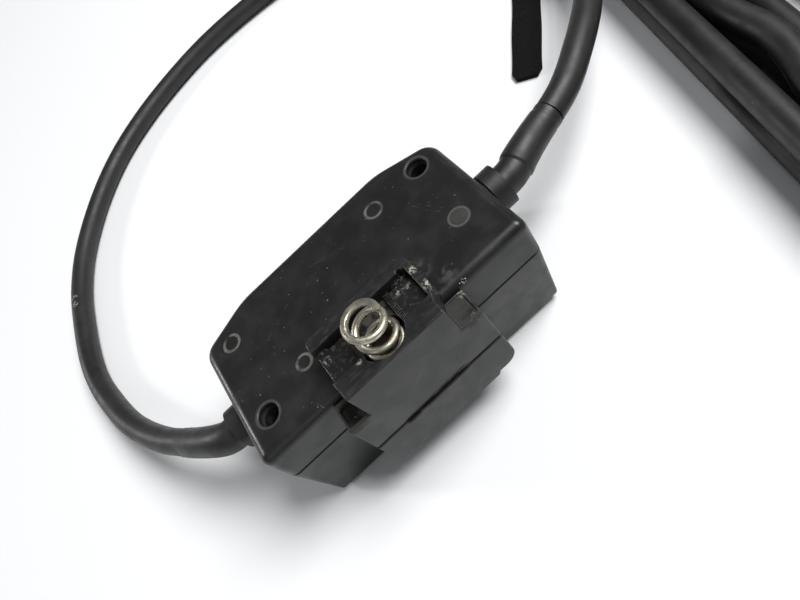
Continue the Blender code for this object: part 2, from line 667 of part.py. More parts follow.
def make_camera_plug():
    """A round three-pin camera connector with a knurled locking ring that turns on its barrel."""
    axis = HANK_ALONG
    spot = on_hank(-7.0, -6.0, CAMERA_PLUG_RADIUS + 0.2)
    turned("camera_plug_boot", [(0, 15), (2.9, 15), (4.0, 12.5), (3.9, 5), (3.0, 0), (0, 0)], spot,
           CORD_BLACK, direction=axis)
    turned("camera_plug_body",
           [(0, 32), (3.6, 32), (3.6, 25.3), (4.9, 25.0), (4.9, 16), (4.3, 15.3), (0, 15.3)],
           spot, FOOT_BLACK, direction=axis, steps=28)
    turned("camera_plug_ring",
           [(CAMERA_PLUG_RADIUS, 34.5), (CAMERA_PLUG_RADIUS, 25.6), (4.1, 25.6), (4.1, 34.5)],
           spot, STEEL, direction=axis, closed=True, steps=28)
    face = [(0, 33.6), (3.5, 33.6), (3.5, 32.3), (0, 32.3)]
    turned("camera_plug_insert", face, spot, NYLON, direction=axis)
    for i in range(3):
        turn = 2 * math.pi * i / 3 + math.pi / 2
        pin_spot = spot + HANK_ACROSS * (1.9 * math.cos(turn)) + Vector((0, 0, 1.9 * math.sin(turn)))
        turned(f"camera_plug_pin_{i + 1}", [(0, 38.2), (0.35, 38), (0.5, 37.4), (0.5, 33.9), (0, 33.9)],
               pin_spot, BRASS, direction=axis, steps=12)


def make_jack_plug():
    """A slim two-pole jack: moulded grip, metal sleeve, insulating collar and tip."""
    axis = -HANK_ALONG
    spot = on_hank(7.0, 6.0, JACK_RADIUS + 0.2)
    turned("jack_boot", [(0, 9), (2.9, 9), (2.9, 4), (2.8, 0), (0, 0)], spot, CORD_BLACK, direction=axis)
    turned("jack_grip", [(0, 26), (2.9, 26), (JACK_RADIUS, 25.2), (JACK_RADIUS, 10.4), (3.0, 9.3), (0, 9.3)],
           spot, FOOT_BLACK, direction=axis)
    turned("jack_sleeve", [(0, 35.2), (1.25, 35.2), (1.25, 27.6), (2.2, 27.4), (2.2, 26.3), (0, 26.3)],
           spot, NICKEL, direction=axis, steps=20)
    turned("jack_collar", [(0, 36.0), (1.2, 36.0), (1.2, 35.5), (0, 35.5)], spot, FOOT_BLACK,
           direction=axis, steps=20)
    point = [(0, 39.3), (0.6, 39.0), (1.2, 38.0), (0.85, 37.2), (1.2, 36.6), (1.2, 36.3), (0, 36.3)]
    turned("jack_tip", point, spot, NICKEL, direction=axis, steps=20)


def strip(path, half):
    """The outline of a strip that follows a flat path, with trimmed corners at its far end."""
    left, right = [], []
    for i, here in enumerate(path):
        ahead = (path[min(i + 1, len(path) - 1)] - path[max(i - 1, 0)]).normalized()
        side = Vector((-ahead.y, ahead.x)) * half
        left.append(here + side)
        right.append(here - side)
    tip_left = left.pop() - ahead * TIE_TIP_TRIM
    tip_right = right.pop() - ahead * TIE_TIP_TRIM
    trim = side.normalized() * TIE_TIP_TRIM
    return [*right, tip_right, path[-1] - side + trim, path[-1] + side - trim, tip_left, *reversed(left)]


def tie_tail_path(start, outward):
    """From the tie outward over the table, round one bend, and straight to the tip."""
    heading = Vector((math.cos(TIE_TIP_HEADING), math.sin(TIE_TIP_HEADING)))
    gap = start - TIE_TIP
    reach = gap.cross(outward) / heading.cross(outward)
    corner = TIE_TIP + heading * reach
    return [start, *corner_arc(start, corner, TIE_TIP, TIE_BEND_RADIUS, 8), TIE_TIP]


def make_tie():
    """A hook-and-loop strap arched over one side of the hank, and its loose tail on the table."""
    low = -HANK_OUTER - GAP
    high = -HANK_INNER + 1.0
    top = 2 * CORD_DIAMETER + 2 * GAP
    outer = rounded(rectangle(low - TIE_THICKNESS, high + TIE_THICKNESS, 0.1, top + TIE_THICKNESS),
                    [0.3, 0.3, 2.0, 2.0], 3)
    inner = rounded(rectangle(low, high, -1, top), [0.3], 2)
    half = TIE_WIDTH / 2
    arch = prism("tie_strap", outer, -half, half, STRAP_BLACK, along="Y")
    way = prism("tie_way", inner, -half - 1, half + 1, along="Y")
    turn = HANK_ANGLE - math.pi / 2 - TIE_TURN
    for piece in (arch, way):
        piece.location = (FOLD_CENTRE * MM).to_3d()
        piece.rotation_euler.z = turn
    cut(arch, way)
    outward = -Vector((math.cos(turn), math.sin(turn)))
    start = FOLD_CENTRE + outward * (TIE_THICKNESS + GAP - low)
    path = tie_tail_path(start, outward)
    tail = flat("tie_strap_tail", [strip(path, half)], TIE_THICKNESS, STRAP_BLACK)
    tail.location.z = (TIE_THICKNESS / 2 + 0.1) * MM


make_upper_shell()
make_lower_shell()
make_foot_upper()
make_foot_lower()
make_contact_parts()
make_screws()
make_glands()
make_switch()
make_button()
make_wires()
make_boots()
make_hank()
make_cords()
make_tails()
make_camera_plug()
make_jack_plug()
make_tie()
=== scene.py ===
"""Looks of the cable shutter release: a black two-part switch box with an accessory-shoe foot, a bare
contact spring, two moulded cords wound into one tied hank, a camera plug and a slim jack.

Shapes are worked out in millimetres, in the frame's own axes, and made objects in metres.
"""

import math
import random

import bmesh
import bpy
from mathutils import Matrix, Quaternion, Vector


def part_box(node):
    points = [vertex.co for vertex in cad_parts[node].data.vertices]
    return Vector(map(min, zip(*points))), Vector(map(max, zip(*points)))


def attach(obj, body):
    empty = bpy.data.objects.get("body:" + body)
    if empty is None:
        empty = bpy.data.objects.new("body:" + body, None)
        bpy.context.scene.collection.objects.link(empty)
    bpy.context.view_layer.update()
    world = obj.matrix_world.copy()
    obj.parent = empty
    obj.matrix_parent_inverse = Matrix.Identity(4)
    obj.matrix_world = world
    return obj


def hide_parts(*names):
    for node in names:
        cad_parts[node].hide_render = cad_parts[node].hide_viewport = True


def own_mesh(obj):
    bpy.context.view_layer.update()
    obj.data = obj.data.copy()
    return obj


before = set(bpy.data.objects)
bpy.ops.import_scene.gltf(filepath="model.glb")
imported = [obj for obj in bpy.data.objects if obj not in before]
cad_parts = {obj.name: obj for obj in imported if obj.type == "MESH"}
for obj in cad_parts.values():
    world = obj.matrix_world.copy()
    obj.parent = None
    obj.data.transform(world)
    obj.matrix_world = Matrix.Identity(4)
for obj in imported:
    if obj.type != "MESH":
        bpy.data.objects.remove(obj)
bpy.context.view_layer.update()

MM = 0.001
GAP = 0.3


def span(node):
    """A node's lowest and highest corner, in millimetres."""
    low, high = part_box(node)
    return low / MM, high / MM


# The box, from its two shells
UPPER_LOW, UPPER_HIGH = span("upper_shell")
LOWER_HIGH = span("lower_shell")[1]
BOX_END_DEPTH = 27.0
BACK_BEND_X = 16.4
WALL = 1.8
LOWER_TAPER = 1.2
AXIS_Y = (UPPER_LOW.y + UPPER_HIGH.y) / 2
SCREWS = {"right": (22.4, AXIS_Y + 8.7), "left": (-22.4, AXIS_Y - 8.7)}

# The foot, from its two halves
FOOT_LOW, FOOT_HIGH = span("foot_upper")
BASE_LOW, BASE_HIGH = span("foot_lower")
FOOT_BACK = UPPER_LOW.y - GAP
PLATE_HALF = 9.3
LEDGE_Z = 24.6
LEDGE_DEPTH = {1: 0.3, -1: 1.2}
CHANNEL = (FOOT_LOW.y + 3.9, FOOT_LOW.y + 10.8)
CHANNEL_FLOOR = FOOT_HIGH.z - 2.5
POCKET_RADIUS = 4.1
POCKET_FLOOR = 26.6
RIB_START, RIB_PITCH, RIB_COUNT = 3.9, 0.28, 4

# The bare contact spring
SPRING_LOW, SPRING_HIGH = span("contact_spring")
POCKET_PLACE = (0.1, UPPER_LOW.y - 1.0)
SPRING_PLACE = Vector((-0.05, UPPER_LOW.y - 0.65, 0))
SPRING_RADIUS = 3.45
SPRING_WIRE = 1.2
SPRING_TURNS = 3.0

# The cords, with their lengths in metres, and their hank
CORD_DIAMETER = 5.5
CORD_RADIUS = CORD_DIAMETER / 2
EXIT = Vector((31.6, AXIS_Y, 17.0))
HANK_CENTRE = (108.0, -3.0)
HANK_ANGLE = math.radians(74.0)
HANK_ALONG = Vector((math.cos(HANK_ANGLE), math.sin(HANK_ANGLE), 0))
HANK_ACROSS = Vector((math.sin(HANK_ANGLE), -math.cos(HANK_ANGLE), 0))
HANK_HALF = 45.0
COLUMNS = (32.2, 26.7, 17.9)
OUTSIDE_TIE = 39.4
TAIL_ACROSS = {"right": 15.1, "left": 12.2}
GAP_ALONG, GAP_SPREAD, GAP_BOW = -13.0, 11.0, 3.1
LAYERS = {"left": CORD_RADIUS, "right": CORD_RADIUS + CORD_DIAMETER + GAP}
CAMERA_PLUG_RADIUS = 5.4
JACK_RADIUS = 3.5
TIE_TURN = math.radians(9.0)
TIE_WIDTH = 7.0
TIE_TIP = Vector((56.8, 33.1, 0))
TIE_TIP_HEADING = math.radians(49.8)
TIE_BEND_RADIUS = 10.5

# The boots' and cords' routes in metres, as part.py has them
BOOT_ROUTES = {
    "right": [
        (0.0321, 0.0029, 0.0170), (0.0342, 0.0032, 0.0170), (0.0376, 0.0046, 0.0170),
        (0.0417, 0.0060, 0.0170), (0.0462, 0.0072, 0.0170),
    ],
    "left": [
        (-0.0321, 0.0029, 0.0170), (-0.0342, 0.0033, 0.0169), (-0.0374, 0.0057, 0.0159),
        (-0.0412, 0.0095, 0.0142), (-0.0448, 0.0136, 0.0122),
    ],
}
CORD_ROUTES = {
    "right": [
        (0.0465, 0.0073, 0.0170), (0.0504, 0.0086, 0.0171), (0.0544, 0.0106, 0.0172),
        (0.0589, 0.0136, 0.0172), (0.0636, 0.0171, 0.0169), (0.0684, 0.0214, 0.0162),
        (0.0727, 0.0264, 0.0150), (0.0764, 0.0320, 0.0133), (0.0794, 0.0379, 0.0113),
        (0.0818, 0.0440, 0.0098),
    ],
    "left": [
        (-0.0450, 0.01385, 0.0121), (-0.0496, 0.0194, 0.0099), (-0.0546, 0.0270, 0.0076),
        (-0.0589, 0.0356, 0.0056), (-0.0620, 0.0448, 0.0040), (-0.0642, 0.0545, 0.0030),
        (-0.0644, 0.0640, 0.0028), (-0.0627, 0.0761, 0.0028), (-0.0598, 0.0885, 0.0028),
        (-0.0541, 0.1013, 0.0028), (-0.0443, 0.1144, 0.0028), (-0.0328, 0.1246, 0.0028),
        (-0.0193, 0.1316, 0.0028), (-0.0039, 0.1359, 0.0028), (0.0127, 0.1376, 0.0028),
        (0.0316, 0.1355, 0.0028), (0.0500, 0.1302, 0.0028), (0.0690, 0.1204, 0.0028),
        (0.0880, 0.1067, 0.0028), (0.1060, 0.0922, 0.0028), (0.1221, 0.0793, 0.0028),
    ],
}

# Camera
CAMERA_PLACE = Vector((9.92, -71.2, 107.8))
CAMERA_TARGET = Vector((5.34, -7.1, 25.5))
CAMERA_ROLL = math.radians(-46.3)
CAMERA_LENS = 30.2

# Light: each lamp's place and size in metres, and its power in watts
SKY_STRENGTH = 0.13
LIGHTS = [
    ("key", (0.52, -0.08, 0.80), 0.6, 11.5),
    ("fill", (-0.50, -0.65, 0.7), 0.7, 0.9),
    ("window", (-0.72, 0.60, 0.42), 0.13, 2.6),
]

# Marks on the box's top face: x, y and radius of each ejector ring and of the pale disc
EJECTOR_RINGS = [(12.0, 11.2, 1.6), (-21.7, 11.3, 1.6), (-12.8, -3.0, 1.4)]
EJECTOR_DISC = (21.1, -2.9, 1.75)
TOP_SCRATCHES = [
    ((17.2, 5.6), (19.6, 0.6)), ((18.0, 5.0), (20.4, 0.8)), ((-3.0, 12.0), (4.0, 9.5)),
    ((-16.0, 6.0), (-9.5, 9.0)),
]
TOP_SMUDGES = [((10.5, -5.5), 3.0), ((13.4, -9.6), 2.4)]

# Marks on the foot: scratches on its front face as (x, z) ends
FRONT_SCRATCHES = [
    ((1.2, 26.8), (4.4, 24.6)), ((4.4, 24.6), (3.4, 20.8)), ((-1.0, 22.5), (6.5, 27.2)),
    ((6.2, 19.4), (8.8, 23.0)), ((-7.5, 11.0), (-2.0, 12.6)),
]
# Where dust has drifted: x, y, z and spread
DUST_DRIFTS = [
    (7.0, -7.3, 28.9, 1.7), (8.4, -10.5, 28.9, 1.6), (9.9, -9.2, 31.4, 1.0),
    (10.3, -13.0, 31.4, 1.4), (-8.6, -7.3, 28.9, 1.4), (12.9, -13.2, 24.6, 1.2),
    (-4.6, -14.8, 31.4, 0.7), (12.2, -17.6, 23.7, 1.0), (3.2, -15.5, 31.4, 0.6),
]
# Where grit lies: x, y, z, spread, number of crumbs and their size
CRUMBS = [
    (14.2, -12.3, 25.1, 0.35, 9, 0.16), (7.0, -7.9, 28.9, 0.7, 10, 0.12),
    (8.2, -10.4, 28.95, 0.5, 9, 0.12), (-8.7, -8.0, 28.9, 0.4, 6, 0.14),
    (12.2, -16.6, 23.7, 0.4, 5, 0.11), (-10.8, -16.2, 23.7, 0.5, 5, 0.11),
    (-15.0, -11.9, 25.5, 0.5, 4, 0.10),
]
# Fluff on the channel's strips: x, y and spread
STRIP_FLUFF = [(6.2, -8.6, 1.5), (8.2, -9.8, 1.3), (-8.6, -9.4, 1.1)]
# Pale specks on the left cord's loop
LOOP_SPECKS = [(-61.5, 82.0, 5.4), (-61.0, 84.5, 5.4)]


def new_object(name, data):
    thing = bpy.data.objects.new(name, data)
    bpy.context.scene.collection.objects.link(thing)
    return thing


# ---- outlines, lofts and turned shapes

def offset(outline, distance):
    """Moves a closed anticlockwise outline inward, or outward for a negative distance."""
    moved = []
    for i, corner in enumerate(outline):
        here = Vector(corner)
        before = (here - Vector(outline[i - 1])).normalized()
        after = (Vector(outline[(i + 1) % len(outline)]) - here).normalized()
        shift = Vector((-before.y - after.y, before.x + after.x)) / (1 + before.dot(after))
        moved.append(here + shift * distance)
    return moved


def rounded(points, radii, closed=True, steps=6):
    """A path whose corners are arcs; a radius too large for its corner's sides is cut down."""
    made = []
    for i, point in enumerate(points):
        here = Vector(point)
        radius = radii[i % len(radii)]
        back = Vector(points[i - 1]) - here
        on = Vector(points[(i + 1) % len(points)]) - here
        if (not closed and i in (0, len(points) - 1)) or radius <= 0 or back.angle(on) > 3.1:
            made.append(here)
            continue
        half = back.angle(on) / 2
        reach = min(radius / math.tan(half), 0.45 * back.length, 0.45 * on.length)
        centre = here + (back.normalized() + on.normalized()).normalized() * (reach / math.cos(half))
        start = here + back.normalized() * reach - centre
        end = here + on.normalized() * reach - centre
        made += [centre + start.slerp(end, k / steps) * start.length for k in range(steps + 1)]
    return made


def rectangle(x_low, x_high, y_low, y_high):
    return [(x_low, y_low), (x_high, y_low), (x_high, y_high), (x_low, y_high)]


def inset_of(corners, radii, steps=6):
    """A function that gives the rounded outline at any inset, always with the same number of points."""
    return lambda inset: rounded(
        offset(corners, inset), [max(radius - inset, 0.15) for radius in radii], steps=steps
    )


def edged(low, high, low_round=0.0, high_round=0.0, steps=4):
    """(height, inset) stops between two levels whose edges are quarter rounds."""
    turns = [math.pi / 2 * k / steps for k in range(steps + 1)]
    start = [(low + low_round * (1 - math.cos(t)), low_round * (1 - math.sin(t))) for t in turns]
    end = [(high - high_round * (1 - math.sin(t)), high_round * (1 - math.cos(t))) for t in turns]
    return (start if low_round else [(low, 0.0)]) + (end if high_round else [(high, 0.0)])


def flared(floor, surface, radius):
    """(height, inset) stops of a cutter that leaves a rounded rim where it comes out of a surface."""
    steps = 3
    stops = [(floor, 0.0)]
    for k in range(steps + 1):
        turn = math.radians(75) * k / steps
        stops.append((surface - radius * (1 - math.sin(turn)), -radius * (1 - math.cos(turn))))
    return [*stops, (surface + 2.0, stops[-1][1])]


def object_from(bm, name):
    """Turns millimetre geometry into an object, in metres."""
    bmesh.ops.recalc_face_normals(bm, faces=bm.faces)
    bmesh.ops.scale(bm, vec=(MM, MM, MM), verts=bm.verts)
    mesh = bpy.data.meshes.new(name)
    bm.to_mesh(mesh)
    bm.free()
    return new_object(name, mesh)


def skin(name, rings, capped=True):
    """A surface over rings of points; a ring of equal points closes to one."""
    bm = bmesh.new()
    rows = []
    for ring in rings:
        if (Vector(ring[0]) - Vector(ring[len(ring) // 2])).length < 1e-6:
            rows.append([bm.verts.new(ring[0])] * len(ring))
        else:
            rows.append([bm.verts.new(point) for point in ring])
    pairs = list(zip(rows, rows[1:])) + ([] if capped else [(rows[-1], rows[0])])
    for low, high in pairs:
        for i, vert in enumerate(low):
            j = (i + 1) % len(low)
            corners = list(dict.fromkeys((vert, low[j], high[j], high[i])))
            if len(corners) > 2:
                bm.faces.new(corners)
    for row in (rows[0], rows[-1]) if capped else ():
        if row[0] is not row[1]:
            bm.faces.new(row)
    return object_from(bm, name)


def loft(name, shape, stops, along="Z"):
    """An outline carried through (height, inset) stops; along Y the outline's points are (x, z)."""
    rings = []
    for height, inset in stops:
        ring = shape(inset)
        rings.append([(p.x, p.y, height) if along == "Z" else (p.x, height, p.y) for p in ring])
    return skin(name, rings)


def lathe(name, profile, place=(0, 0, 0), direction=(0, 0, 1), closed=False, steps=48, ripple=None):
    """Turns (radius, height) points about an axis through a place; ripple changes a radius by angle."""
    swing = Vector((0, 0, 1)).rotation_difference(Vector(direction).normalized())
    rings = []
    for radius, height in profile:
        ring = []
        for k in range(steps):
            turn = 2 * math.pi * k / steps
            reach = ripple(radius, height, turn) if ripple else radius
            point = Vector((reach * math.cos(turn), reach * math.sin(turn), height))
            ring.append(Vector(place) + swing @ point)
        rings.append(ring)
    return skin(name, rings, capped=not closed)


def softened(profile, radius, closed=False):
    return [tuple(p) for p in rounded(profile, [radius], closed=closed, steps=3)]


def post(x, y, radius, low, high, steps=48):
    """An upright round bar, to join on or to cut away."""
    return lathe("tool", [(0, high), (radius, high), (radius, low), (0, low)], (x, y, 0), steps=steps)


def block(outline, radii, stops, steps=6):
    """An upright bar with rounded corners, to join on or to cut away."""
    return loft("tool", inset_of(outline, radii, steps), stops)


def combine(thing, tools, operation):
    """Joins tools to a thing or cuts them from it, and removes them."""
    for tool in tools:
        step = thing.modifiers.new("step", "BOOLEAN")
        step.operation = operation
        step.object = tool
    settle(thing)
    for tool in tools:
        bpy.data.objects.remove(tool)
    return thing


def solid_of(thing):
    """The mesh of a thing as its modifiers or its curve shape it."""
    graph = bpy.context.evaluated_depsgraph_get()
    return bpy.data.meshes.new_from_object(thing.evaluated_get(graph))


def settle(thing):
    """Applies the modifiers."""
    mesh = solid_of(thing)
    thing.modifiers.clear()
    thing.data = mesh
    return thing


def shade(thing, angle):
    """Smooth shading that breaks at real edges and keeps large faces flat."""
    thing.data.shade_smooth()
    thing.data.set_sharp_from_angle(angle=math.radians(angle))
    step = thing.modifiers.new("normals", "WEIGHTED_NORMAL")
    step.keep_sharp = True


def install(thing, material, slot, *nodes, body="housing", angle=32):
    """Gives a finished piece its shading, material and body, and hides the CAD nodes that it stands for;
    slot is not used.
    """
    if thing.type == "MESH":
        shade(thing, angle)
        thing.data.materials.clear()
    thing.data.materials.append(material)
    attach(thing, body)
    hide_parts(*nodes)


def smooth_route(points, spacing):
    """Points at even steps along a Catmull-Rom curve through the given ones."""
    knots = [Vector(p) for p in points]
    ends = [2 * knots[0] - knots[1], *knots, 2 * knots[-1] - knots[-2]]
    fine = []
    for before, start, end, after in zip(ends, ends[1:], ends[2:], ends[3:]):
        for k in range(16):
            t = k / 16
            fine.append(0.5 * (
                2 * start + (end - before) * t
                + (2 * before - 5 * start + 4 * end - after) * t**2
                + (3 * start - before - 3 * end + after) * t**3
            ))
    fine.append(knots[-1])
    length = sum((b - a).length for a, b in zip(fine, fine[1:]))
    count = max(2, round(length / spacing))
    picked = [fine[0]]
    walked = 0.0
    for a, b in zip(fine, fine[1:]):
        walked += (b - a).length
        if len(picked) < count and walked >= length * len(picked) / count:
            picked.append(b)
    return picked + [fine[-1]]


def tube(name, points, radius, radii=None, sides=20):
    """A round bar along points in millimetres; radii scale it at each of them."""
    curve = bpy.data.curves.new(name, "CURVE")
    curve.dimensions = "3D"
    curve.bevel_depth = radius * MM
    curve.bevel_resolution = sides // 4 - 1
    curve.use_fill_caps = True
    spline = curve.splines.new("POLY")
    spline.points.add(len(points) - 1)
    for i, point in enumerate(points):
        spline.points[i].co = (*(Vector(point) * MM), 1.0)
        spline.points[i].radius = radii[i] if radii else 1.0
    spline.use_smooth = True
    return new_object(name, curve)


# ---- materials

class Surface:
    """A Principled material whose colour, roughness and relief are varied by masks in object space."""

    def __init__(self, name, colour, roughness, **uniform):
        self.material = bpy.data.materials.new(name)
        self.material.use_nodes = True
        self.tree = self.material.node_tree
        self.shader = self.tree.nodes["Principled BSDF"]
        self.place = self.add("TexCoord").outputs["Object"]
        self.colour = (*colour, 1.0)
        self.roughness = roughness
        self.relief = None
        for socket, value in uniform.items():
            self.shader.inputs[socket.replace("_", " ")].default_value = value

    def add(self, kind, **settings):
        made = self.tree.nodes.new("ShaderNode" + kind)
        for key, value in settings.items():
            setattr(made, key, value)
        return made

    def feed(self, sockets, *values):
        for socket, value in zip(sockets, values):
            if isinstance(value, bpy.types.NodeSocket):
                self.tree.links.new(value, socket)
            else:
                socket.default_value = value

    def made_by(self, kind, operation, *values):
        """A node of that kind, fed with values."""
        made = self.add(kind, operation=operation)
        self.feed(made.inputs, *values)
        return made

    def maths(self, operation, *values):
        return self.made_by("Math", operation, *values).outputs[0]

    def times(self, first, second):
        return self.maths("MULTIPLY", first, second)

    def band(self, value, low, high):
        """0 at low and 1 at high, smooth between them."""
        made = self.add("MapRange", interpolation_type="SMOOTHSTEP")
        self.feed(made.inputs, value, low, high, 0.0, 1.0)
        return made.outputs[0]

    def noise(self, size, detail=3.0, stretch=(1, 1, 1), shift=(0, 0, 0)):
        """Fractal noise whose largest features measure size millimetres."""
        moved = self.add("Mapping")
        self.feed(moved.inputs, self.place, shift, (0, 0, 0), stretch)
        made = self.add("TexNoise")
        sockets = [made.inputs[name] for name in ("Vector", "Scale", "Detail")]
        self.feed(sockets, moved.outputs[0], 1 / (size * MM), detail)
        return made.outputs[0]

    def patches(self, size, detail, low, high, **moved):
        """Cloudy patches: 0 where the noise is under low and 1 where it is over high."""
        return self.band(self.noise(size, detail, **moved), low, high)

    def distance(self, point):
        """Millimetres from a point."""
        away = self.made_by("VectorMath", "DISTANCE", self.place, tuple(Vector(point) * MM))
        return self.times(away.outputs["Value"], 1 / MM)

    def near(self, point, inner, outer):
        return self.band(self.distance(point), outer, inner)

    def ring(self, point, radius, width):
        """1 on a circle about a point, 0 a width away from it."""
        off = self.maths("ABSOLUTE", self.maths("SUBTRACT", self.distance(point), radius))
        return self.band(off, width, width * 0.3)

    def within(self, axis, low, high, soft):
        """1 between two planes square to an axis, in millimetres."""
        parts = self.add("SeparateXYZ")
        self.feed(parts.inputs, self.place)
        value = self.times(parts.outputs["XYZ".index(axis)], 1 / MM)
        above = self.band(value, low - soft, low + soft)
        return self.times(above, self.band(value, high + soft, high - soft))

    def line(self, start, end, width):
        """1 along a straight scratch between two points."""
        first = Vector(start) * MM
        reach = Vector(end) * MM - first
        apart = self.made_by("VectorMath", "SUBTRACT", self.place, tuple(first)).outputs[0]
        dot = self.made_by("VectorMath", "DOT_PRODUCT", apart, tuple(reach / reach.length_squared))
        part = self.add("Clamp")
        self.feed(part.inputs, dot.outputs["Value"], 0.0, 1.0)
        foot = self.add("VectorMath", operation="SCALE")
        self.feed([foot.inputs[0], foot.inputs["Scale"]], tuple(reach), part.outputs[0])
        away = self.made_by("VectorMath", "DISTANCE", apart, foot.outputs[0])
        return self.band(self.times(away.outputs["Value"], 1 / MM), width, width * 0.25)

    def eased_normal(self, radius):
        eased = self.add("Bevel", samples=6)
        self.feed(eased.inputs, radius * MM)
        return eased.outputs[0]

    def edge(self, radius):
        """1 on edges, from how far a rounded normal leans from the real one."""
        real = self.add("NewGeometry").outputs["Normal"]
        dot = self.made_by("VectorMath", "DOT_PRODUCT", self.eased_normal(radius), real)
        return self.band(self.maths("SUBTRACT", 1.0, dot.outputs["Value"]), 0.02, 0.16)

    def upward(self):
        """1 where the surface faces up, 0 where it is upright or faces down."""
        parts = self.add("SeparateXYZ")
        self.feed(parts.inputs, self.add("NewGeometry").outputs["Normal"])
        return self.band(parts.outputs["Z"], 0.3, 0.95)

    def tint(self, mask, colour, strength=None, roughness=None):
        """Mixes a colour in where the mask is 1, at a strength, and a roughness too if one is given."""
        amount = mask if strength is None else self.times(mask, strength)
        mix = self.add("Mix", data_type="RGBA")
        self.feed([mix.inputs[k] for k in (0, 6, 7)], amount, self.colour, (*colour, 1.0))
        self.colour = mix.outputs[2]
        return self if roughness is None else self.finish_at(mask, roughness)

    def finish_at(self, mask, roughness):
        mix = self.add("Mix", data_type="FLOAT")
        self.feed([mix.inputs[k] for k in (0, 2, 3)], mask, self.roughness, roughness)
        self.roughness = mix.outputs[0]
        return self

    def matt(self, mask):
        """Takes the reflection away where the mask is 1, as on a torn surface."""
        level = self.shader.inputs["Specular IOR Level"]
        self.feed([level], self.maths("MULTIPLY_ADD", mask, -0.5, 0.5))
        return self

    def raised(self, mask, height):
        """Adds relief of that height in millimetres."""
        part = self.times(mask, height)
        self.relief = part if self.relief is None else self.maths("ADD", self.relief, part)
        return self

    def done(self, edge_round=None):
        """Links the varied colour, roughness and relief, with edges rounded by that many millimetres."""
        sockets = self.shader.inputs
        self.feed([sockets["Base Color"], sockets["Roughness"]], self.colour, self.roughness)
        normal = self.eased_normal(edge_round) if edge_round else None
        if self.relief is not None:
            bump = self.add("Bump")
            inputs = [bump.inputs[name] for name in ("Strength", "Distance", "Height")]
            self.feed(inputs, 1.0, MM, self.relief)
            if normal:
                self.feed([bump.inputs["Normal"]], normal)
            normal = bump.outputs[0]
        if normal:
            self.feed([sockets["Normal"]], normal)
        return self.material


def moulded_black(name, colour, roughness, grain=0.006):
    """Black moulded plastic: fine spark texture, cloudy gloss, pale worn edges and a little dust."""
    black = Surface(name, colour, roughness)
    cloud = black.noise(9.0, 4.0)
    black.tint(black.band(cloud, 0.4, 0.7), [c * 1.45 for c in colour])
    black.finish_at(black.patches(4.0, 5.0, 0.35, 0.7, shift=(3, 1, 2)), roughness + 0.14)
    black.raised(black.noise(0.35, 2.0), grain).raised(cloud, 0.02)
    wear = black.times(black.edge(0.35), black.patches(1.1, 4.0, 0.38, 0.62, shift=(7, 0, 0)))
    black.tint(wear, (0.12, 0.12, 0.115), 0.55)
    lint = black.patches(0.55, 1.0, 0.735, 0.79, shift=(1, 9, 4))
    return black.tint(black.times(lint, black.upward()), (0.2, 0.2, 0.18), 0.5)


def shell_material():
    shell = moulded_black("box_plastic", (0.0080, 0.0086, 0.0077), 0.34)
    top = UPPER_HIGH.z
    for x, y, radius in EJECTOR_RINGS:
        rim = shell.ring((x, y, top), radius, 0.36)
        patchy = shell.times(rim, shell.patches(2.0, 3.0, 0.3, 0.6))
        shell.tint(patchy, (0.12, 0.125, 0.11)).raised(rim, 0.05)
    x, y, radius = EJECTOR_DISC
    disc = (x, y, top)
    cloud = shell.patches(1.4, 4.0, 0.3, 0.7, shift=(5, 5, 5))
    shell.tint(shell.times(shell.near(disc, radius - 0.15, radius + 0.15), cloud), (0.028, 0.030, 0.027))
    shell.tint(shell.ring(disc, radius + 0.05, 0.3), (0.075, 0.078, 0.07), 0.8)
    shell.finish_at(shell.near(disc, radius - 0.05, radius + 0.2), 0.7)
    # Painted highlight: a pale ring round each screw hole, where its chamfered rim catches the light.
    for x, y in SCREWS.values():
        shell.tint(shell.ring((x, y, top), 2.25, 0.36), (0.085, 0.085, 0.08), 0.5)
    for start, end in TOP_SCRATCHES:
        scratch = shell.line((*start, top), (*end, top), 0.16)
        broken = shell.times(scratch, shell.patches(1.5, 3.0, 0.45, 0.6))
        shell.tint(broken, (0.07, 0.07, 0.07), 0.3).raised(broken, -0.01)
    for spot, spread in TOP_SMUDGES:
        smudge = shell.times(shell.near((*spot, top), 0.3, spread), shell.patches(1.2, 5.0, 0.42, 0.62))
        shell.tint(smudge, (0.12, 0.12, 0.105), 0.3, roughness=0.75)
    return shell.done(edge_round=0.15)


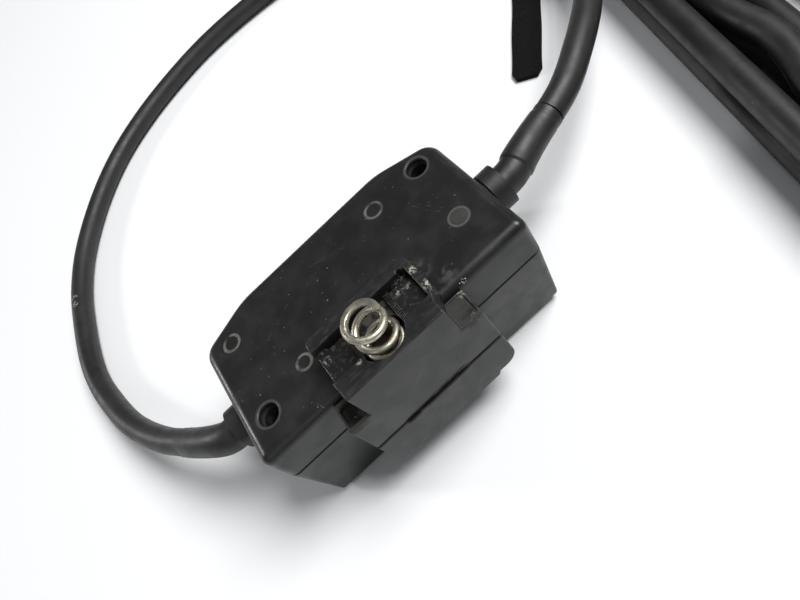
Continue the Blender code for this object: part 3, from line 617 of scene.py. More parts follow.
def foot_material():
    """The foot is older looking than the box: scuffed rails, a smeared parting line and packed dust."""
    foot = moulded_black("foot_plastic", (0.0090, 0.0094, 0.0088), 0.34, grain=0.008)
    top = FOOT_HIGH.z
    front = FOOT_LOW.y

    def some_of(place, *patches, **moved):
        return foot.times(place, foot.patches(*patches, **moved))

    rails = foot.within("Z", top - 0.4, top + 1, 0.15)
    scuffed = some_of(rails, 0.8, 5.0, 0.45, 0.68, stretch=(0.35, 1, 1))
    foot.tint(scuffed, (0.07, 0.072, 0.07), 0.12, roughness=0.5)
    # The front face is painted lighter in blotches: partly real blotching, partly a painted reflection of
    # the bright floor that the front faces mirror.
    face = foot.within("Y", front - 1, front + 0.15, 0.05)
    front_blotch_and_painted_sheen = some_of(face, 3.2, 6.0, 0.45, 0.66, shift=(2, 2, 8))
    foot.tint(front_blotch_and_painted_sheen, (0.06, 0.06, 0.062), 0.35, roughness=0.55)
    smear = foot.line((-6.2, front, 15.7), (5.4, front, 16.1), 1.3)
    scar = some_of(smear, 1.3, 5.0, 0.30, 0.48, stretch=(0.5, 1, 1))
    foot.tint(scar, (0.006, 0.006, 0.006), roughness=0.8).raised(scar, -0.2).matt(foot.times(scar, 0.75))
    for start, end in FRONT_SCRATCHES:
        scratch = foot.line((start[0], front, start[1]), (end[0], front, end[1]), 0.14)
        foot.tint(scratch, (0.11, 0.11, 0.11), 0.1).raised(scratch, -0.008)
    floor = foot.times(foot.within("Z", CHANNEL_FLOOR - 0.4, CHANNEL_FLOOR + 0.25, 0.1),
                       foot.within("Y", CHANNEL[0] - 0.2, CHANNEL[1] + 0.2, 0.1))
    grime = some_of(floor, 1.5, 5.0, 0.42, 0.6, shift=(4, 4, 4))
    foot.tint(grime, (0.058, 0.05, 0.036), 0.6, roughness=0.85)
    for *spot, spread in DUST_DRIFTS:
        drift = some_of(foot.near(spot, 0.15, spread), 0.5, 4.0, 0.42, 0.58, shift=(0, 6, 1))
        foot.tint(drift, (0.40, 0.39, 0.33), roughness=0.95).raised(drift, 0.06)
    for side in (-1, 1):
        rim = foot.near((side * 11.4, front + 2.7, LEDGE_Z), 2.9, 3.6)
        inside = foot.times(rim, foot.within("Z", LEDGE_Z - 1.4, LEDGE_Z + 0.1, 0.1))
        foot.tint(some_of(inside, 2.2, 6.0, 0.25, 0.65), (0.062, 0.060, 0.052), 0.5, roughness=0.9)
    return foot.done(edge_round=0.2)


def cord_material():
    """Satin vinyl sheath with handling marks and pale flecks."""
    colour = (0.0105, 0.0102, 0.0095)
    sheath = Surface("cord_rubber", colour, 0.46)
    sheath.tint(sheath.patches(12.0, 4.0, 0.35, 0.7), [c * 1.5 for c in colour])
    sheath.finish_at(sheath.patches(3.0, 5.0, 0.35, 0.7), 0.58)
    sheath.tint(sheath.patches(0.9, 2.0, 0.74, 0.80, shift=(2, 0, 5)), (0.2, 0.2, 0.18), 0.4)
    sheath.raised(sheath.noise(1.6, 3.0), 0.03).raised(sheath.noise(0.25, 1.0), 0.004)
    for spot in LOOP_SPECKS:
        speck = sheath.times(sheath.near(spot, 0.4, 1.3), sheath.patches(0.45, 2.0, 0.5, 0.62))
        sheath.tint(speck, (0.5, 0.5, 0.46), 0.8)
    return sheath.done()


def metal(name, colour, roughness, tarnish, size=1.2):
    """Plated or bare metal with cloudy tarnish and fine scratches."""
    plate = Surface(name, colour, roughness, Metallic=1.0)
    plate.tint(plate.patches(size, 5.0, 0.42, 0.66), tarnish, 0.8, roughness=roughness + 0.22)
    plate.tint(plate.patches(size * 0.4, 3.0, 0.62, 0.74, shift=(3, 3, 0)), [c * 0.5 for c in tarnish])
    plate.raised(plate.noise(0.22, 2.0), 0.008).raised(plate.noise(0.5, 2.0, stretch=(1, 6, 1)), 0.006)
    return plate.done(edge_round=0.08)


def strip_material():
    """Blackened spring strip, shiny where clean and dull where dirt has packed in, with a painted
    highlight on its edges.
    """
    strip = Surface("blackened_strip", (0.012, 0.012, 0.012), 0.26)
    strip.tint(strip.patches(0.8, 5.0, 0.52, 0.68), (0.07, 0.064, 0.052), 0.25, roughness=0.6)
    # Painted highlight: a paler colour along every edge of the strip.
    strip.tint(strip.edge(0.2), (0.09, 0.09, 0.085), 0.7)
    for x, y, spread in STRIP_FLUFF:
        heap = strip.near((x, y, CHANNEL_FLOOR + 0.5), 0.2, spread)
        fluff = strip.times(heap, strip.patches(0.6, 4.0, 0.46, 0.6, shift=(2, 0, 0)))
        strip.tint(fluff, (0.34, 0.33, 0.29), 0.75).finish_at(fluff, 0.95).raised(fluff, 0.1)
    return strip.raised(strip.noise(0.4, 4.0), 0.05).done(edge_round=0.08)


def board_material():
    """Paper-phenolic terminal board, with a faint weave."""
    board = Surface("terminal_board", (0.30, 0.17, 0.07), 0.55)
    board.tint(board.patches(5.0, 4.0, 0.35, 0.7), (0.22, 0.12, 0.05))
    for stretch in ((1, 0.08, 1), (0.08, 1, 1)):
        thread = board.noise(0.4, 1.0, stretch=stretch)
        board.raised(thread, 0.02).tint(board.band(thread, 0.5, 0.7), (0.42, 0.27, 0.13), 0.3)
    return board.done(edge_round=0.1)


def simple_plastic(name, colour, roughness):
    """Moulded insulation: even colour with slight mottling."""
    plastic = Surface(name, colour, roughness)
    plastic.tint(plastic.patches(3.0, 4.0, 0.35, 0.7), [c * 0.8 for c in colour])
    plastic.finish_at(plastic.patches(1.0, 3.0, 0.35, 0.7), roughness + 0.15)
    return plastic.raised(plastic.noise(0.3, 2.0), 0.008).done(edge_round=0.1)


def strap_material():
    """Hook-and-loop fabric: matt black pile, with paler broken loops."""
    strap = Surface("hook_and_loop", (0.0045, 0.0045, 0.0050), 0.95, Specular_IOR_Level=0.15)
    pile = strap.noise(0.45, 3.0)
    strap.tint(strap.band(pile, 0.5, 0.72), (0.010, 0.010, 0.011))
    strap.tint(strap.patches(0.3, 1.0, 0.72, 0.8, shift=(4, 1, 1)), (0.05, 0.05, 0.05), 0.4)
    return strap.raised(pile, 0.25).raised(strap.noise(0.18, 1.0), 0.1).done()


# ---- the box

def box_shape(wall=0.0):
    """The box's outline, at any inset beyond the wall's thickness."""
    half = UPPER_HIGH.x
    front, back = UPPER_LOW.y, UPPER_HIGH.y
    corners = [(-half, front), (half, front), (half, front + BOX_END_DEPTH), (BACK_BEND_X, back),
               (-BACK_BEND_X, back), (-half, front + BOX_END_DEPTH)]
    radii = [1.6, 1.6, 3.4, 14.0, 14.0, 3.4]
    return lambda inset: rounded(
        offset(corners, inset + wall), [max(r - inset - wall, 0.4) for r in radii], steps=8
    )


def exit_hole(sign):
    inner, outer = UPPER_HIGH.x - 4, UPPER_HIGH.x + 2
    return lathe("tool", [(0, outer), (3.3, outer), (3.3, inner), (0, inner)],
                 (0, AXIS_Y, EXIT.z), (sign, 0, 0), steps=32)


def make_upper_shell(material):
    low, top = UPPER_LOW.z, UPPER_HIGH.z
    roof = top - WALL
    shell = loft("upper_shell_moulding", box_shape(), edged(low, top, 0.2, 1.8, steps=9))
    combine(shell, [loft("tool", box_shape(WALL), [(low - 2, 0), (roof, 0)])], "DIFFERENCE")
    combine(shell, [post(x, y, 3.3, low, roof + 0.5) for x, y in SCREWS.values()], "UNION")
    tools = [exit_hole(1), exit_hole(-1)]
    for x, y in SCREWS.values():
        tools.append(lathe("tool", [
            (0, top + 1), (2.2, top + 1), (2.12, top), (1.98, top - 0.12), (1.88, top - 0.3),
            (1.84, top - 0.6), (1.78, 19.6), (1.1, 19.6), (1.1, low - 1), (0, low - 1),
        ], (x, y, 0)))
    combine(shell, tools, "DIFFERENCE")
    install(shell, material, "shell_black", "upper_shell")


def make_lower_shell(material):
    high = LOWER_HIGH.z
    edges = edged(0, high, 2.0, 0.2, 8)
    stops = [(height, inset + LOWER_TAPER * (1 - height / high)) for height, inset in edges]
    shell = loft("lower_shell_moulding", box_shape(), stops)
    room = loft("tool", box_shape(WALL), [(2.2, LOWER_TAPER), (high + 2, 0)])
    combine(shell, [room], "DIFFERENCE")
    posts = [post(x, y, 2.9, 1.7, high) for x, y in SCREWS.values()]
    posts += [post(x, AXIS_Y, 1.8, 1.7, 7.6) for x in (-13.5, 13.5)]
    posts += [post(x, AXIS_Y, 1.6, 1.7, 12.2) for x in (-17.5, 17.5)]
    combine(shell, posts, "UNION")
    dish = [(0, -1), (9.6, -1), (9.3, 0.0), (9.0, 0.12), (8.2, 0.55), (7.4, 0.7), (0, 0.7)]
    way = 6.1
    opening = [(0, -1), (way + 0.3, -1), (way + 0.3, 0.7), (way, 1.0), (way, 3.2), (0, 3.2)]
    tools = [lathe("tool", profile, (0, AXIS_Y, 0), steps=64) for profile in (dish, opening)]
    tools += [exit_hole(1), exit_hole(-1)]
    tools += [post(x, y, 1.1, 5.5, high + 1, steps=24) for x, y in SCREWS.values()]
    combine(shell, tools, "DIFFERENCE")
    install(shell, material, "shell_black", "lower_shell")


# ---- the foot

def make_foot(material):
    """The rail plate that enters a shoe, the body under it, and the body's lower half."""
    front, back, half = FOOT_LOW.y, FOOT_BACK, PLATE_HALF
    side = half + 4.0
    low, top = FOOT_LOW.z, FOOT_HIGH.z
    body = rectangle(-side, side, low, LEDGE_Z)
    foot = loft("foot_upper_moulding", inset_of(body, [0.4]), edged(front, back, 0.4, 0.1), along="Y")
    shell_top = UPPER_HIGH.z + GAP
    plate_back = UPPER_LOW.y + 7.5
    plate = [(-half, front), (half, front), (half, UPPER_LOW.y - 3.4), (half + 1.3, UPPER_LOW.y + 0.4),
             (half + 1.1, plate_back - 1.2), (half - 0.4, plate_back), (-half - 0.5, plate_back),
             (-half - 0.5, UPPER_LOW.y)]
    radii = [0.45, 0.45, 1.2, 2.0, 1.2, 1.2, 1.0, 0.3]
    neck = rectangle(-half, half, front, back)
    combine(foot, [
        block(plate, radii, edged(shell_top, top, 0.15, 0.3)),
        block(neck, [0.45, 0.45, 0.2, 0.2], [(LEDGE_Z - 2, 0), (shell_top + 1, 0)]),
    ], "UNION")
    channel = rectangle(-half - 3, half - 0.15, *CHANNEL)
    notch = rectangle(half - 1.5, half - 0.6, CHANNEL[1] - 0.4, CHANNEL[1] + 0.4)
    spring_x, spring_y = POCKET_PLACE
    mouth = POCKET_RADIUS + 0.2
    pocket = [(0, top + 3), (mouth, top + 3), (mouth, top - 0.05), (POCKET_RADIUS, top - 0.35),
              (POCKET_RADIUS, POCKET_FLOOR), (0, POCKET_FLOOR)]
    tools = [
        block(channel, [0.3], flared(CHANNEL_FLOOR, top, 0.22)),
        block(notch, [0.5], flared(CHANNEL_FLOOR + 0.6, top, 0.15)),
        lathe("tool", pocket, (spring_x, spring_y, 0), steps=72),
        post(spring_x, UPPER_LOW.y - 3, 1.1, 20.6, 28, steps=24),
    ]
    for sign in (-1, 1):
        x_low, x_high = sorted((sign * (half + 0.15), sign * (side - 0.5)))
        recess = rectangle(x_low, x_high, front + 0.7, back - (0.4 if sign > 0 else 0.9))
        tools.append(block(recess, [0.5], flared(LEDGE_Z - LEDGE_DEPTH[sign], LEDGE_Z, 0.3)))
    combine(foot, tools, "DIFFERENCE")
    ribs = []
    for k in range(RIB_COUNT):
        x = RIB_START + k * RIB_PITCH
        rib = rectangle(x, x + RIB_PITCH * 0.5, CHANNEL[0] + 0.02, CHANNEL[1] - 0.02)
        ribs.append(block(rib, [0.02], [(CHANNEL_FLOOR - 0.3, 0), (CHANNEL_FLOOR + 0.9, 0)], steps=1))
    combine(foot, ribs, "UNION")
    install(foot, material, "foot_black", "foot_upper")

    base_low, base_high = 7.0, BASE_HIGH.z
    shape = inset_of(rectangle(-side, side, base_low, base_high), [2.4, 2.4, 0.3, 0.3])
    base = loft("foot_lower_moulding", shape, edged(front, back, 0.4, 0.1), along="Y")
    pad = rectangle(-half, half, front + 0.3, back - 0.3)
    combine(base, [block(pad, [0.8], edged(BASE_LOW.z, base_low + 1, 0.25))], "UNION")
    install(base, material, "foot_black", "foot_lower")


def make_channel_plates(material):
    """Thin springy strips lying in the channel on each side of the contact."""
    front, back = CHANNEL[0] + 0.4, CHANNEL[1] - 0.4
    for side, low, high in (("right", 4.7, 9.0), ("left", -9.6, -4.7)):
        node_low, node_high = span(f"channel_plate_{side}")
        stops = edged(node_low.z, node_high.z, 0.05, 0.12, 3)
        plate = loft(f"channel_strip_{side}", inset_of(rectangle(low, high, front, back), [0.4]), stops)
        install(plate, material, "foot_black", f"channel_plate_{side}")


# ---- the contact spring

def spring_height(low, high, turns, under, flat):
    """The height of the wire's centre a number of turns below the upper end."""
    closing = 0.62
    pitch = (high - low - 2 * flat) / (turns - 2 * closing)
    if under < closing:
        return high - flat * under / closing
    if under > turns - closing:
        return low + flat * (turns - under) / closing
    return high - flat - pitch * (under - closing)


def spring_points(place, radius, low, high, turns, flat):
    """A left-hand helix with flat end turns, from its upper end, which points along +X, downward."""
    steps = 64
    points = []
    for k in range(round(turns * steps) + 1):
        turn = math.radians(-3) + 2 * math.pi * k / steps
        height = spring_height(low, high, turns, k / steps, flat)
        points.append(place + Vector((radius * math.cos(turn), radius * math.sin(turn), height)))
    return smooth_route(points, 0.18)


def wire_coil(name, path, radius):
    """A wire along a path, as a mesh."""
    curve = tube("wire_curve", path, radius, sides=24)
    coil = new_object(name, solid_of(curve))
    bpy.data.objects.remove(curve)
    return coil


def press_spring(spring, material, node):
    """Installs a spring and gives it its own copy of its mesh."""
    install(spring, material, "aged_nickel", node, angle=40)
    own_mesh(spring)


def make_contact_spring(material):
    """The spring's top is ground flat."""
    wire = SPRING_WIRE / 2
    low, high = SPRING_LOW.z + wire, SPRING_HIGH.z - 0.1
    path = spring_points(SPRING_PLACE, SPRING_RADIUS - wire, low, high, SPRING_TURNS, 0.45)
    spring = wire_coil("contact_spring_ground", path, wire)
    top = (SPRING_HIGH.z + 0.1) * MM
    for vert in spring.data.vertices:
        vert.co.z = min(vert.co.z, top)
    press_spring(spring, material, "contact_spring")


def make_button_spring(material):
    """The spring that returns the button."""
    low, high = span("button_spring")
    wire = 0.3
    place = Vector((0, AXIS_Y, 0))
    path = spring_points(place, high.x - wire, low.z + wire, high.z - wire, 3.4, 0.2)
    spring = wire_coil("button_return_spring", path, wire)
    press_spring(spring, material, "button_spring")


# ---- cord exits

def make_glands(material):
    wall = UPPER_HIGH.x
    inner = wall - WALL - LOWER_TAPER / 3 - GAP
    profile = softened([
        (2.0, EXIT.x - 0.3), (3.3, EXIT.x - 0.3), (3.5, EXIT.x), (4.1, EXIT.x), (4.1, wall + 1.0),
        (3.7, wall + 0.9), (3.7, wall + 0.45), (4.1, wall + 0.4), (4.1, wall + GAP), (3.0, wall + GAP),
        (3.0, inner),
        (4.2, inner), (4.2, inner - 1.3), (2.0, inner - 1.3),
    ], 0.1, closed=True)
    for side, sign in (("right", 1), ("left", -1)):
        gland = lathe(f"cord_collar_{side}", profile, (0, AXIS_Y, EXIT.z), (sign, 0, 0),
                      closed=True, steps=64)
        install(gland, material, "cord_black", f"cord_gland_{side}")


def right_boot_radius(walked, length):
    """A sleeve that steps out at its first seam, then tapers to a second one beside the cord."""
    first, second = 4.3, length - 1.3
    part = min(max((walked - first) / (second - first), 0.0), 1.0)
    step = 1 / (1 + math.exp(-(walked - first - 0.15) / 0.12))
    radius = 3.03 + step * (0.30 - 0.46 * part**0.8)
    if walked > second:
        radius = 2.82
    for seam in (first, second):
        radius -= 0.11 * math.exp(-(((walked - seam) / 0.16) ** 2))
    return radius


def left_boot_radius(walked, length):
    """A plain taper with two faint raised rings near its end."""
    radius = 3.12 - 0.30 * walked / length
    for ring in (length - 3.0, length - 0.5):
        radius += 0.06 * math.exp(-(((walked - ring) / 0.18) ** 2))
    return radius


def make_boots(material):
    for side, radius_at in (("right", right_boot_radius), ("left", left_boot_radius)):
        path = smooth_route([Vector(p) / MM for p in BOOT_ROUTES[side]], 0.12)
        path = [path[0] - (path[1] - path[0]).normalized() * 1.2, *path]
        length = sum((b - a).length for a, b in zip(path, path[1:]))
        radii, walked = [], 0.0
        for k, point in enumerate(path):
            walked += (point - path[k - 1]).length if k else 0.0
            radii.append(radius_at(walked, length))
        boot = tube(f"cord_sleeve_{side}", path, 1.0, radii, sides=32)
        install(boot, material, "cord_black", f"cord_boot_{side}")


# ---- cords and hank

def on_hank(across, along, z):
    """A point beside the hank's centre: across its width, along its length, at a height."""
    return Vector((*HANK_CENTRE, z)) + HANK_ACROSS * across + HANK_ALONG * along


def near_run(column, z):
    """The side of the hank towards the box; the second column bows inward and leaves a gap."""
    points = []
    for k in range(1, 13):
        along = -HANK_HALF + 2 * HANK_HALF * k / 13
        bow = GAP_BOW * math.exp(-(((along - GAP_ALONG) / GAP_SPREAD) ** 2))
        points.append(on_hank((bow if column == COLUMNS[1] else 0.0) - column, along, z))
    return points


def far_run(column, z):
    return [on_hank(column, HANK_HALF - 2 * HANK_HALF * k / 8, z) for k in range(1, 8)]


def fold(start, end, z, top, first=0.0, shift=0.0):
    """A half turn round one end of the hank, clockwise, from one radius to another."""
    points = []
    steps = 14
    side = 1 if top else -1
    for k in range(steps + 1):
        part = first + (1 - first) * k / steps
        radius = start + (end - start) * part * part * (3 - 2 * part)
        turn = math.pi * part
        across = shift - side * radius * math.cos(turn)
        points.append(on_hank(across, side * (HANK_HALF + radius * math.sin(turn)), z))
    return points


def wound(side):
    """The turns of one cord on its layer of the hank, from where its route arrives to its tail."""
    z = LAYERS[side]
    points = []
    if side == "right":
        points += fold(OUTSIDE_TIE, COLUMNS[0], z, True)
    else:
        points += fold(COLUMNS[0], COLUMNS[0], z, True, first=0.62)
    for column, following in zip(COLUMNS, COLUMNS[1:]):
        points += far_run(column, z) + fold(column, column, z, False) + near_run(column, z)
        points += fold(column, following, z, True)
    inner = COLUMNS[-1]
    points += far_run(inner, z)
    if side == "right":
        radius = (inner + TAIL_ACROSS["right"]) / 2
        return points + fold(radius, radius, z, False, shift=inner - radius)
    radius = (inner + TAIL_ACROSS["left"]) / 2
    points += fold(inner, inner, z, False) + near_run(inner, z)
    return points + fold(radius, radius, z, True, shift=radius - inner)


def tail(side):
    """The last stretch of a cord, inside the hank's loop, into its plug."""
    start = TAIL_ACROSS[side]
    if side == "right":
        stops = [(-start, -40, LAYERS[side]), (-start + 3.5, -30, 7.4), (-8.2, -19, 6.2),
                 (-7.0, -6.3, CAMERA_PLUG_RADIUS + 0.2)]
    else:
        stops = [(start, 40, LAYERS[side]), (9.8, 29, 2.9), (7.6, 18, 3.4),
                 (7.0, 6.3, JACK_RADIUS + 0.2)]
    return [on_hank(*stop) for stop in stops]


def make_cord(side, material):
    route = [Vector(p) / MM for p in CORD_ROUTES[side]]
    path = smooth_route(route + wound(side) + tail(side), 1.4)
    cord = tube(f"cord_{side}_whole", path, CORD_RADIUS, sides=24)
    install(cord, material, "cord_black", f"cord_{side}", f"cord_{side}_tail", f"coil_{side}")


def heading(path, k):
    """The way a path runs at one of its points."""
    return (path[min(k + 1, len(path) - 1)] - path[max(k - 1, 0)]).normalized()


def ribbon(name, path, across, width, thickness):
    """A soft strip along a path; across gives the direction of its width at each point."""
    rings = []
    for k, point in enumerate(path):
        wide = across[k].normalized()
        out = wide.cross(heading(path, k)).normalized()
        flat = rectangle(-width[k] / 2, width[k] / 2, -thickness / 2, thickness / 2)
        rings.append([point + wide * p.x + out * p.y for p in rounded(flat, [0.4], steps=3)])
    return skin(name, rings)


def make_tie(material):
    """A hook-and-loop strap arched over one side of the hank, and its loose tail on the table."""
    turn = HANK_ANGLE - math.pi / 2 - TIE_TURN
    outward = -Vector((math.cos(turn), math.sin(turn), 0))
    along = Vector((-math.sin(turn), math.cos(turn), 0))
    centre = on_hank(0, HANK_HALF, 0)
    outer, inner, top = 35.85, 13.45, 12.1
    arch = [(outer, 0.7), (outer, top), (inner, top), (inner, 0.7)]
    bend = rounded(arch, [3.2], closed=False, steps=10)
    bend = smooth_route([centre + outward * p.x + Vector((0, 0, p.y)) for p in bend], 0.6)
    wavy = [p + along * (0.25 * math.sin(0.35 * k)) for k, p in enumerate(bend)]
    widths = [TIE_WIDTH + 0.18 * math.sin(0.9 * k) for k in range(len(bend))]
    strap = ribbon("tie_strap_arch", wavy, [along] * len(bend), widths, 1.0)
    install(strap, material, "strap_black", "tie_strap", angle=50)

    way = Vector((math.cos(TIE_TIP_HEADING), math.sin(TIE_TIP_HEADING), 0))
    start = centre + outward * 36.6
    gap = start - TIE_TIP
    reach = gap.cross(outward).z / way.cross(outward).z
    corner = TIE_TIP + way * reach
    flat = rounded([start.xy, corner.xy, TIE_TIP.xy], [TIE_BEND_RADIUS], closed=False, steps=10)
    path = smooth_route([Vector((*p, 0.62)) for p in flat], 0.6)
    across, widths = [], []
    for k, point in enumerate(path):
        across.append(-heading(path, k).cross(Vector((0, 0, 1))))
        left = (point - TIE_TIP).length
        end = math.sqrt(max(0.0, 1 - max(0.0, 1 - left / 2.2) ** 2))
        widths.append((TIE_WIDTH - 0.15 + 0.15 * math.sin(0.8 * k)) * max(end, 0.35))
    loose = ribbon("tie_strap_end", path, across, widths, 1.0)
    install(loose, material, "strap_black", "tie_strap_tail", angle=50)


# ---- plugs and button

def ribbed(length, low_radius, high_radius, count, depth):
    """A tapering strain relief's (radius, height) profile, with rings moulded round it."""
    profile = []
    for k in range(count * 8 + 1):
        part = k / (count * 8)
        ring = depth * (0.5 - 0.5 * math.cos(2 * math.pi * count * part))
        profile.append((high_radius + (low_radius - high_radius) * part - ring, length * (1 - part)))
    return profile


def fluted(outer, low, high, depth_at):
    """A ripple for lathe: flutes in the outer surface between two heights, as deep as depth_at says."""
    def ripple(radius, height, turn):
        plain = radius < outer - 0.05 or not low < height < high
        return radius if plain else radius - depth_at(turn)
    return ripple


def make_camera_plug(black, body_black, ring_metal):
    axis = HANK_ALONG
    spot = on_hank(-7.0, -6.0, CAMERA_PLUG_RADIUS + 0.2)
    relief = [(0, 15), *ribbed(15, 3.0, 4.0, 6, 0.3), (0, 0)]
    boot = lathe("camera_plug_relief", relief, spot, axis)
    install(boot, black, "cord_black", "camera_plug_boot")
    profile = softened([
        (0, 32), (3.6, 32), (3.6, 25.3), (4.9, 25.0), (4.9, 21.5), (4.6, 21.2), (4.6, 20.6),
        (4.9, 20.3), (4.9, 16), (4.3, 15.3), (0, 15.3),
    ], 0.25)
    body = lathe("camera_plug_barrel", profile, spot, axis, steps=64)
    install(body, body_black, "foot_black", "camera_plug_body")

    outer = CAMERA_PLUG_RADIUS
    knurl = fluted(outer, 27.0, 33.2, lambda turn: 0.07 + 0.07 * math.cos(44 * turn))
    profile = [
        (outer - 0.35, 34.5), (outer - 0.1, 34.35), (outer, 34.1), (outer, 33.6), (outer - 0.12, 33.3),
        (outer, 33.1), (outer, 27.1), (outer - 0.12, 26.9), (outer, 26.6), (outer, 25.9),
        (outer - 0.3, 25.6), (4.1, 25.6), (4.1, 34.5),
    ]
    ring = lathe("camera_plug_knurled_ring", profile, spot, axis, closed=True, steps=264,
                 ripple=knurl)
    install(ring, ring_metal, "screw_steel", "camera_plug_ring", body="locking_ring", angle=25)


def make_jack(black, body_black, plated):
    axis = -HANK_ALONG
    spot = on_hank(7.0, 6.0, JACK_RADIUS + 0.2)
    boot = lathe("jack_relief", [(0, 9), *ribbed(9, 2.7, 2.95, 5, 0.25), (0, 0)], spot, axis)
    install(boot, black, "cord_black", "jack_boot")
    outer = JACK_RADIUS
    grooves = fluted(outer, 12.0, 23.5, lambda turn: 0.16 * max(0.0, math.cos(16 * turn)))
    profile = [(0, 26), (2.6, 26), (3.0, 25.8), (3.4, 25.0), (outer, 24.2), (outer, 23.5), (outer, 23.4),
               (outer, 12.1), (outer, 12.0), (outer, 11.0), (3.3, 10.2), (3.0, 9.5), (2.6, 9.3), (0, 9.3)]
    grip = lathe("jack_handle", profile, spot, axis, steps=128, ripple=grooves)
    install(grip, body_black, "foot_black", "jack_grip")
    sleeve = softened([(0, 35.2), (1.25, 35.2), (1.25, 27.6), (2.2, 27.4), (2.2, 26.3), (0, 26.3)], 0.12)
    install(lathe("jack_barrel", sleeve, spot, axis, steps=40), plated, "aged_nickel", "jack_sleeve")
    tip = [(0, 39.3)]
    tip += [(0.18 + 1.02 * math.sin(math.pi / 2 * k / 8), 39.3 - 1.3 * k / 8) for k in range(9)]
    tip += [(1.05, 37.6), (0.86, 37.2), (1.05, 36.85), (1.2, 36.6), (1.2, 36.3), (0, 36.3)]
    install(lathe("jack_point", tip, spot, axis, steps=40), plated, "aged_nickel", "jack_tip")


def make_button(material):
    low, high = span("release_button")
    base = 2.5
    profile = [(0, high.z), (1.6, high.z), (2.0, high.z - 0.4), (2.0, base + 1.0), (7.1, base + 1.0),
               (7.2, base + 0.9), (7.2, base), (5.8, base), (5.8, low.z + 0.8), (5.65, low.z + 0.3),
               (5.3, low.z + 0.05), (4.9, low.z)]
    for k in range(10):
        profile.append((4.6 * (1 - k / 10), low.z + 0.12 + 0.4 * math.sin(math.pi / 2 * k / 10)))
    profile.append((0, low.z + 0.52))
    button = lathe("button_cap", profile, (0, AXIS_Y, 0), steps=72)
    install(button, material, "foot_black", "release_button", body="button")


# ---- dust, kept nodes, camera and light

def make_crumbs(material):
    """Loose grit in the corners of the foot, each crumb a small broken lump."""
    draw = random.Random(7)
    bm = bmesh.new()
    for x, y, z, spread, count, size in CRUMBS:
        for _ in range(count):
            radius = size * draw.uniform(0.4, 1.0)
            lump = bmesh.ops.create_icosphere(bm, subdivisions=1, radius=radius)["verts"]
            for vert in lump:
                vert.co *= draw.uniform(0.65, 1.25)
            place = (x + draw.gauss(0, spread), y + draw.gauss(0, spread), z + 0.3 * size)
            bmesh.ops.translate(bm, vec=place, verts=lump)
    crumbs = object_from(bm, "grit")
    crumbs.data.materials.append(material)
    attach(crumbs, "housing")


def dress(materials, choices):
    """Puts a better material on the CAD nodes that are kept as they are."""
    for name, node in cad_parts.items():
        if node.hide_render:
            continue
        chosen = next(key for start, key in choices if name.startswith(start))
        node.data.materials.clear()
        node.data.materials.append(materials[chosen])


def aim_camera():
    camera = new_object("camera", bpy.data.cameras.new("camera"))
    camera.data.lens = CAMERA_LENS
    camera.data.clip_start = 0.005
    camera.location = CAMERA_PLACE * MM
    camera.rotation_mode = "QUATERNION"
    look = (CAMERA_TARGET - CAMERA_PLACE).to_track_quat("-Z", "Y")
    camera.rotation_quaternion = look @ Quaternion((0, 0, 1), CAMERA_ROLL)
    bpy.context.scene.camera = camera


def area_light(name, place, size, power):
    data = bpy.data.lights.new(name, "AREA")
    data.shape = "DISK"
    data.size = size
    data.energy = power
    light = new_object(name, data)
    light.location = place
    light.rotation_mode = "QUATERNION"
    light.rotation_quaternion = (-Vector(place)).to_track_quat("-Z", "Y")


def make_stage():
    bpy.ops.mesh.primitive_plane_add(size=6)
    floor = bpy.context.object
    floor.name = "floor"
    paper = Surface("paper", (0.86, 0.87, 0.88), 0.9)
    paper.tint(paper.noise(60.0, 3.0), (0.88, 0.885, 0.89))
    floor.data.materials.append(paper.done())
    world = bpy.data.worlds.new("studio")
    world.use_nodes = True
    sky = world.node_tree.nodes["Background"]
    sky.inputs["Color"].default_value = (0.92, 0.96, 1.0, 1)
    sky.inputs["Strength"].default_value = SKY_STRENGTH
    bpy.context.scene.world = world
    for lamp in LIGHTS:
        area_light(*lamp)
    bpy.context.scene.view_settings.view_transform = "Standard"


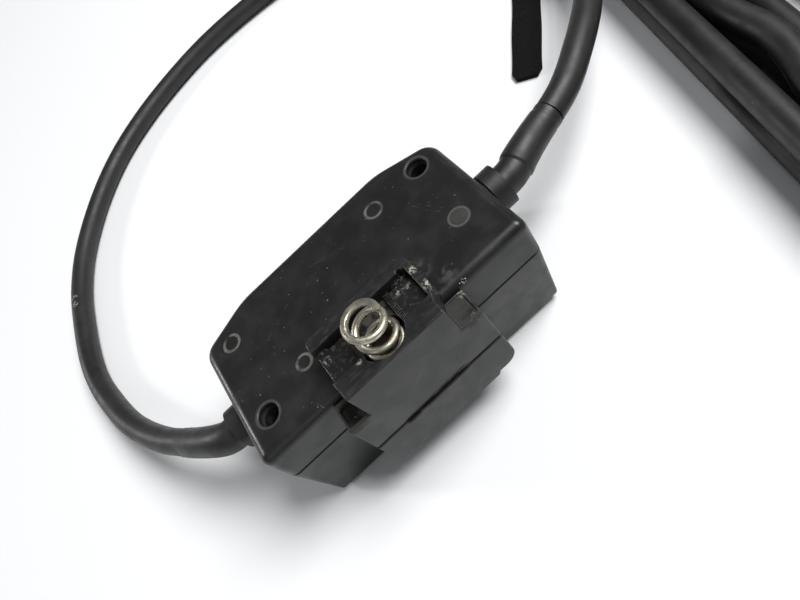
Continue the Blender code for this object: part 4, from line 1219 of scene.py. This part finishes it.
def main():
    aim_camera()
    make_stage()
    black = cord_material()
    foot = foot_material()
    shell = shell_material()
    nickel = metal("aged_nickel", (0.72, 0.68, 0.58), 0.24, (0.42, 0.36, 0.26), size=1.6)
    steel = metal("screw_steel", (0.36, 0.36, 0.37), 0.34, (0.17, 0.15, 0.13))
    fine_black = moulded_black("plug_plastic", (0.013, 0.013, 0.0135), 0.4).done(edge_round=0.1)
    make_upper_shell(shell)
    make_lower_shell(shell)
    make_foot(foot)
    make_channel_plates(strip_material())
    make_contact_spring(metal("dull_nickel", (0.56, 0.53, 0.44), 0.36, (0.36, 0.33, 0.25), size=1.4))
    make_button_spring(nickel)
    make_glands(black)
    make_boots(black)
    make_tie(strap_material())
    make_camera_plug(black, fine_black, metal("ring_nickel", (0.55, 0.55, 0.54), 0.3, (0.3, 0.28, 0.25)))
    make_jack(black, fine_black, nickel)
    make_button(moulded_black("button_plastic", (0.02, 0.02, 0.02), 0.3).done(edge_round=0.1))
    make_crumbs(simple_plastic("grit", (0.5, 0.48, 0.42), 0.9))
    on_plug = [f"camera_plug_{piece}" for piece in ("relief", "barrel", "knurled_ring", "insert")]
    on_plug += [f"camera_plug_pin_{k + 1}" for k in range(3)]
    make_cord("right", black)
    make_cord("left", black)
    materials = {
        "nickel": nickel, "steel": steel, "black": fine_black,
        # The contact cup's near-black brass is painted shade for the dark pocket under the spring.
        "cup_dark_as_shade": metal("shade_darkened_brass", (0.07, 0.055, 0.035), 0.5, (0.02, 0.018, 0.015)),
        "brass": metal("contact_brass", (0.62, 0.45, 0.18), 0.3, (0.3, 0.19, 0.08)),
        "bronze": metal("leaf_bronze", (0.58, 0.34, 0.16), 0.3, (0.32, 0.17, 0.08)),
        "board": board_material(),
        "nylon": simple_plastic("nylon_natural", (0.66, 0.64, 0.56), 0.45),
        "red": simple_plastic("wire_red", (0.42, 0.03, 0.02), 0.4),
        "white": simple_plastic("wire_white", (0.68, 0.68, 0.66), 0.4),
    }
    dress(materials, [
        ("case_screw", "steel"), ("contact_cup", "cup_dark_as_shade"), ("contact_pin", "brass"),
        ("camera_plug_pin", "brass"), ("camera_plug_insert", "nylon"), ("jack_collar", "black"),
        ("leaf_spacer", "nylon"), ("leaf_", "bronze"), ("switch_frame", "nylon"),
        ("terminal_board", "board"), ("wire_contact", "red"), ("wire_right_red", "red"),
        ("wire_left_red", "red"), ("wire_", "white"),
    ])


main()
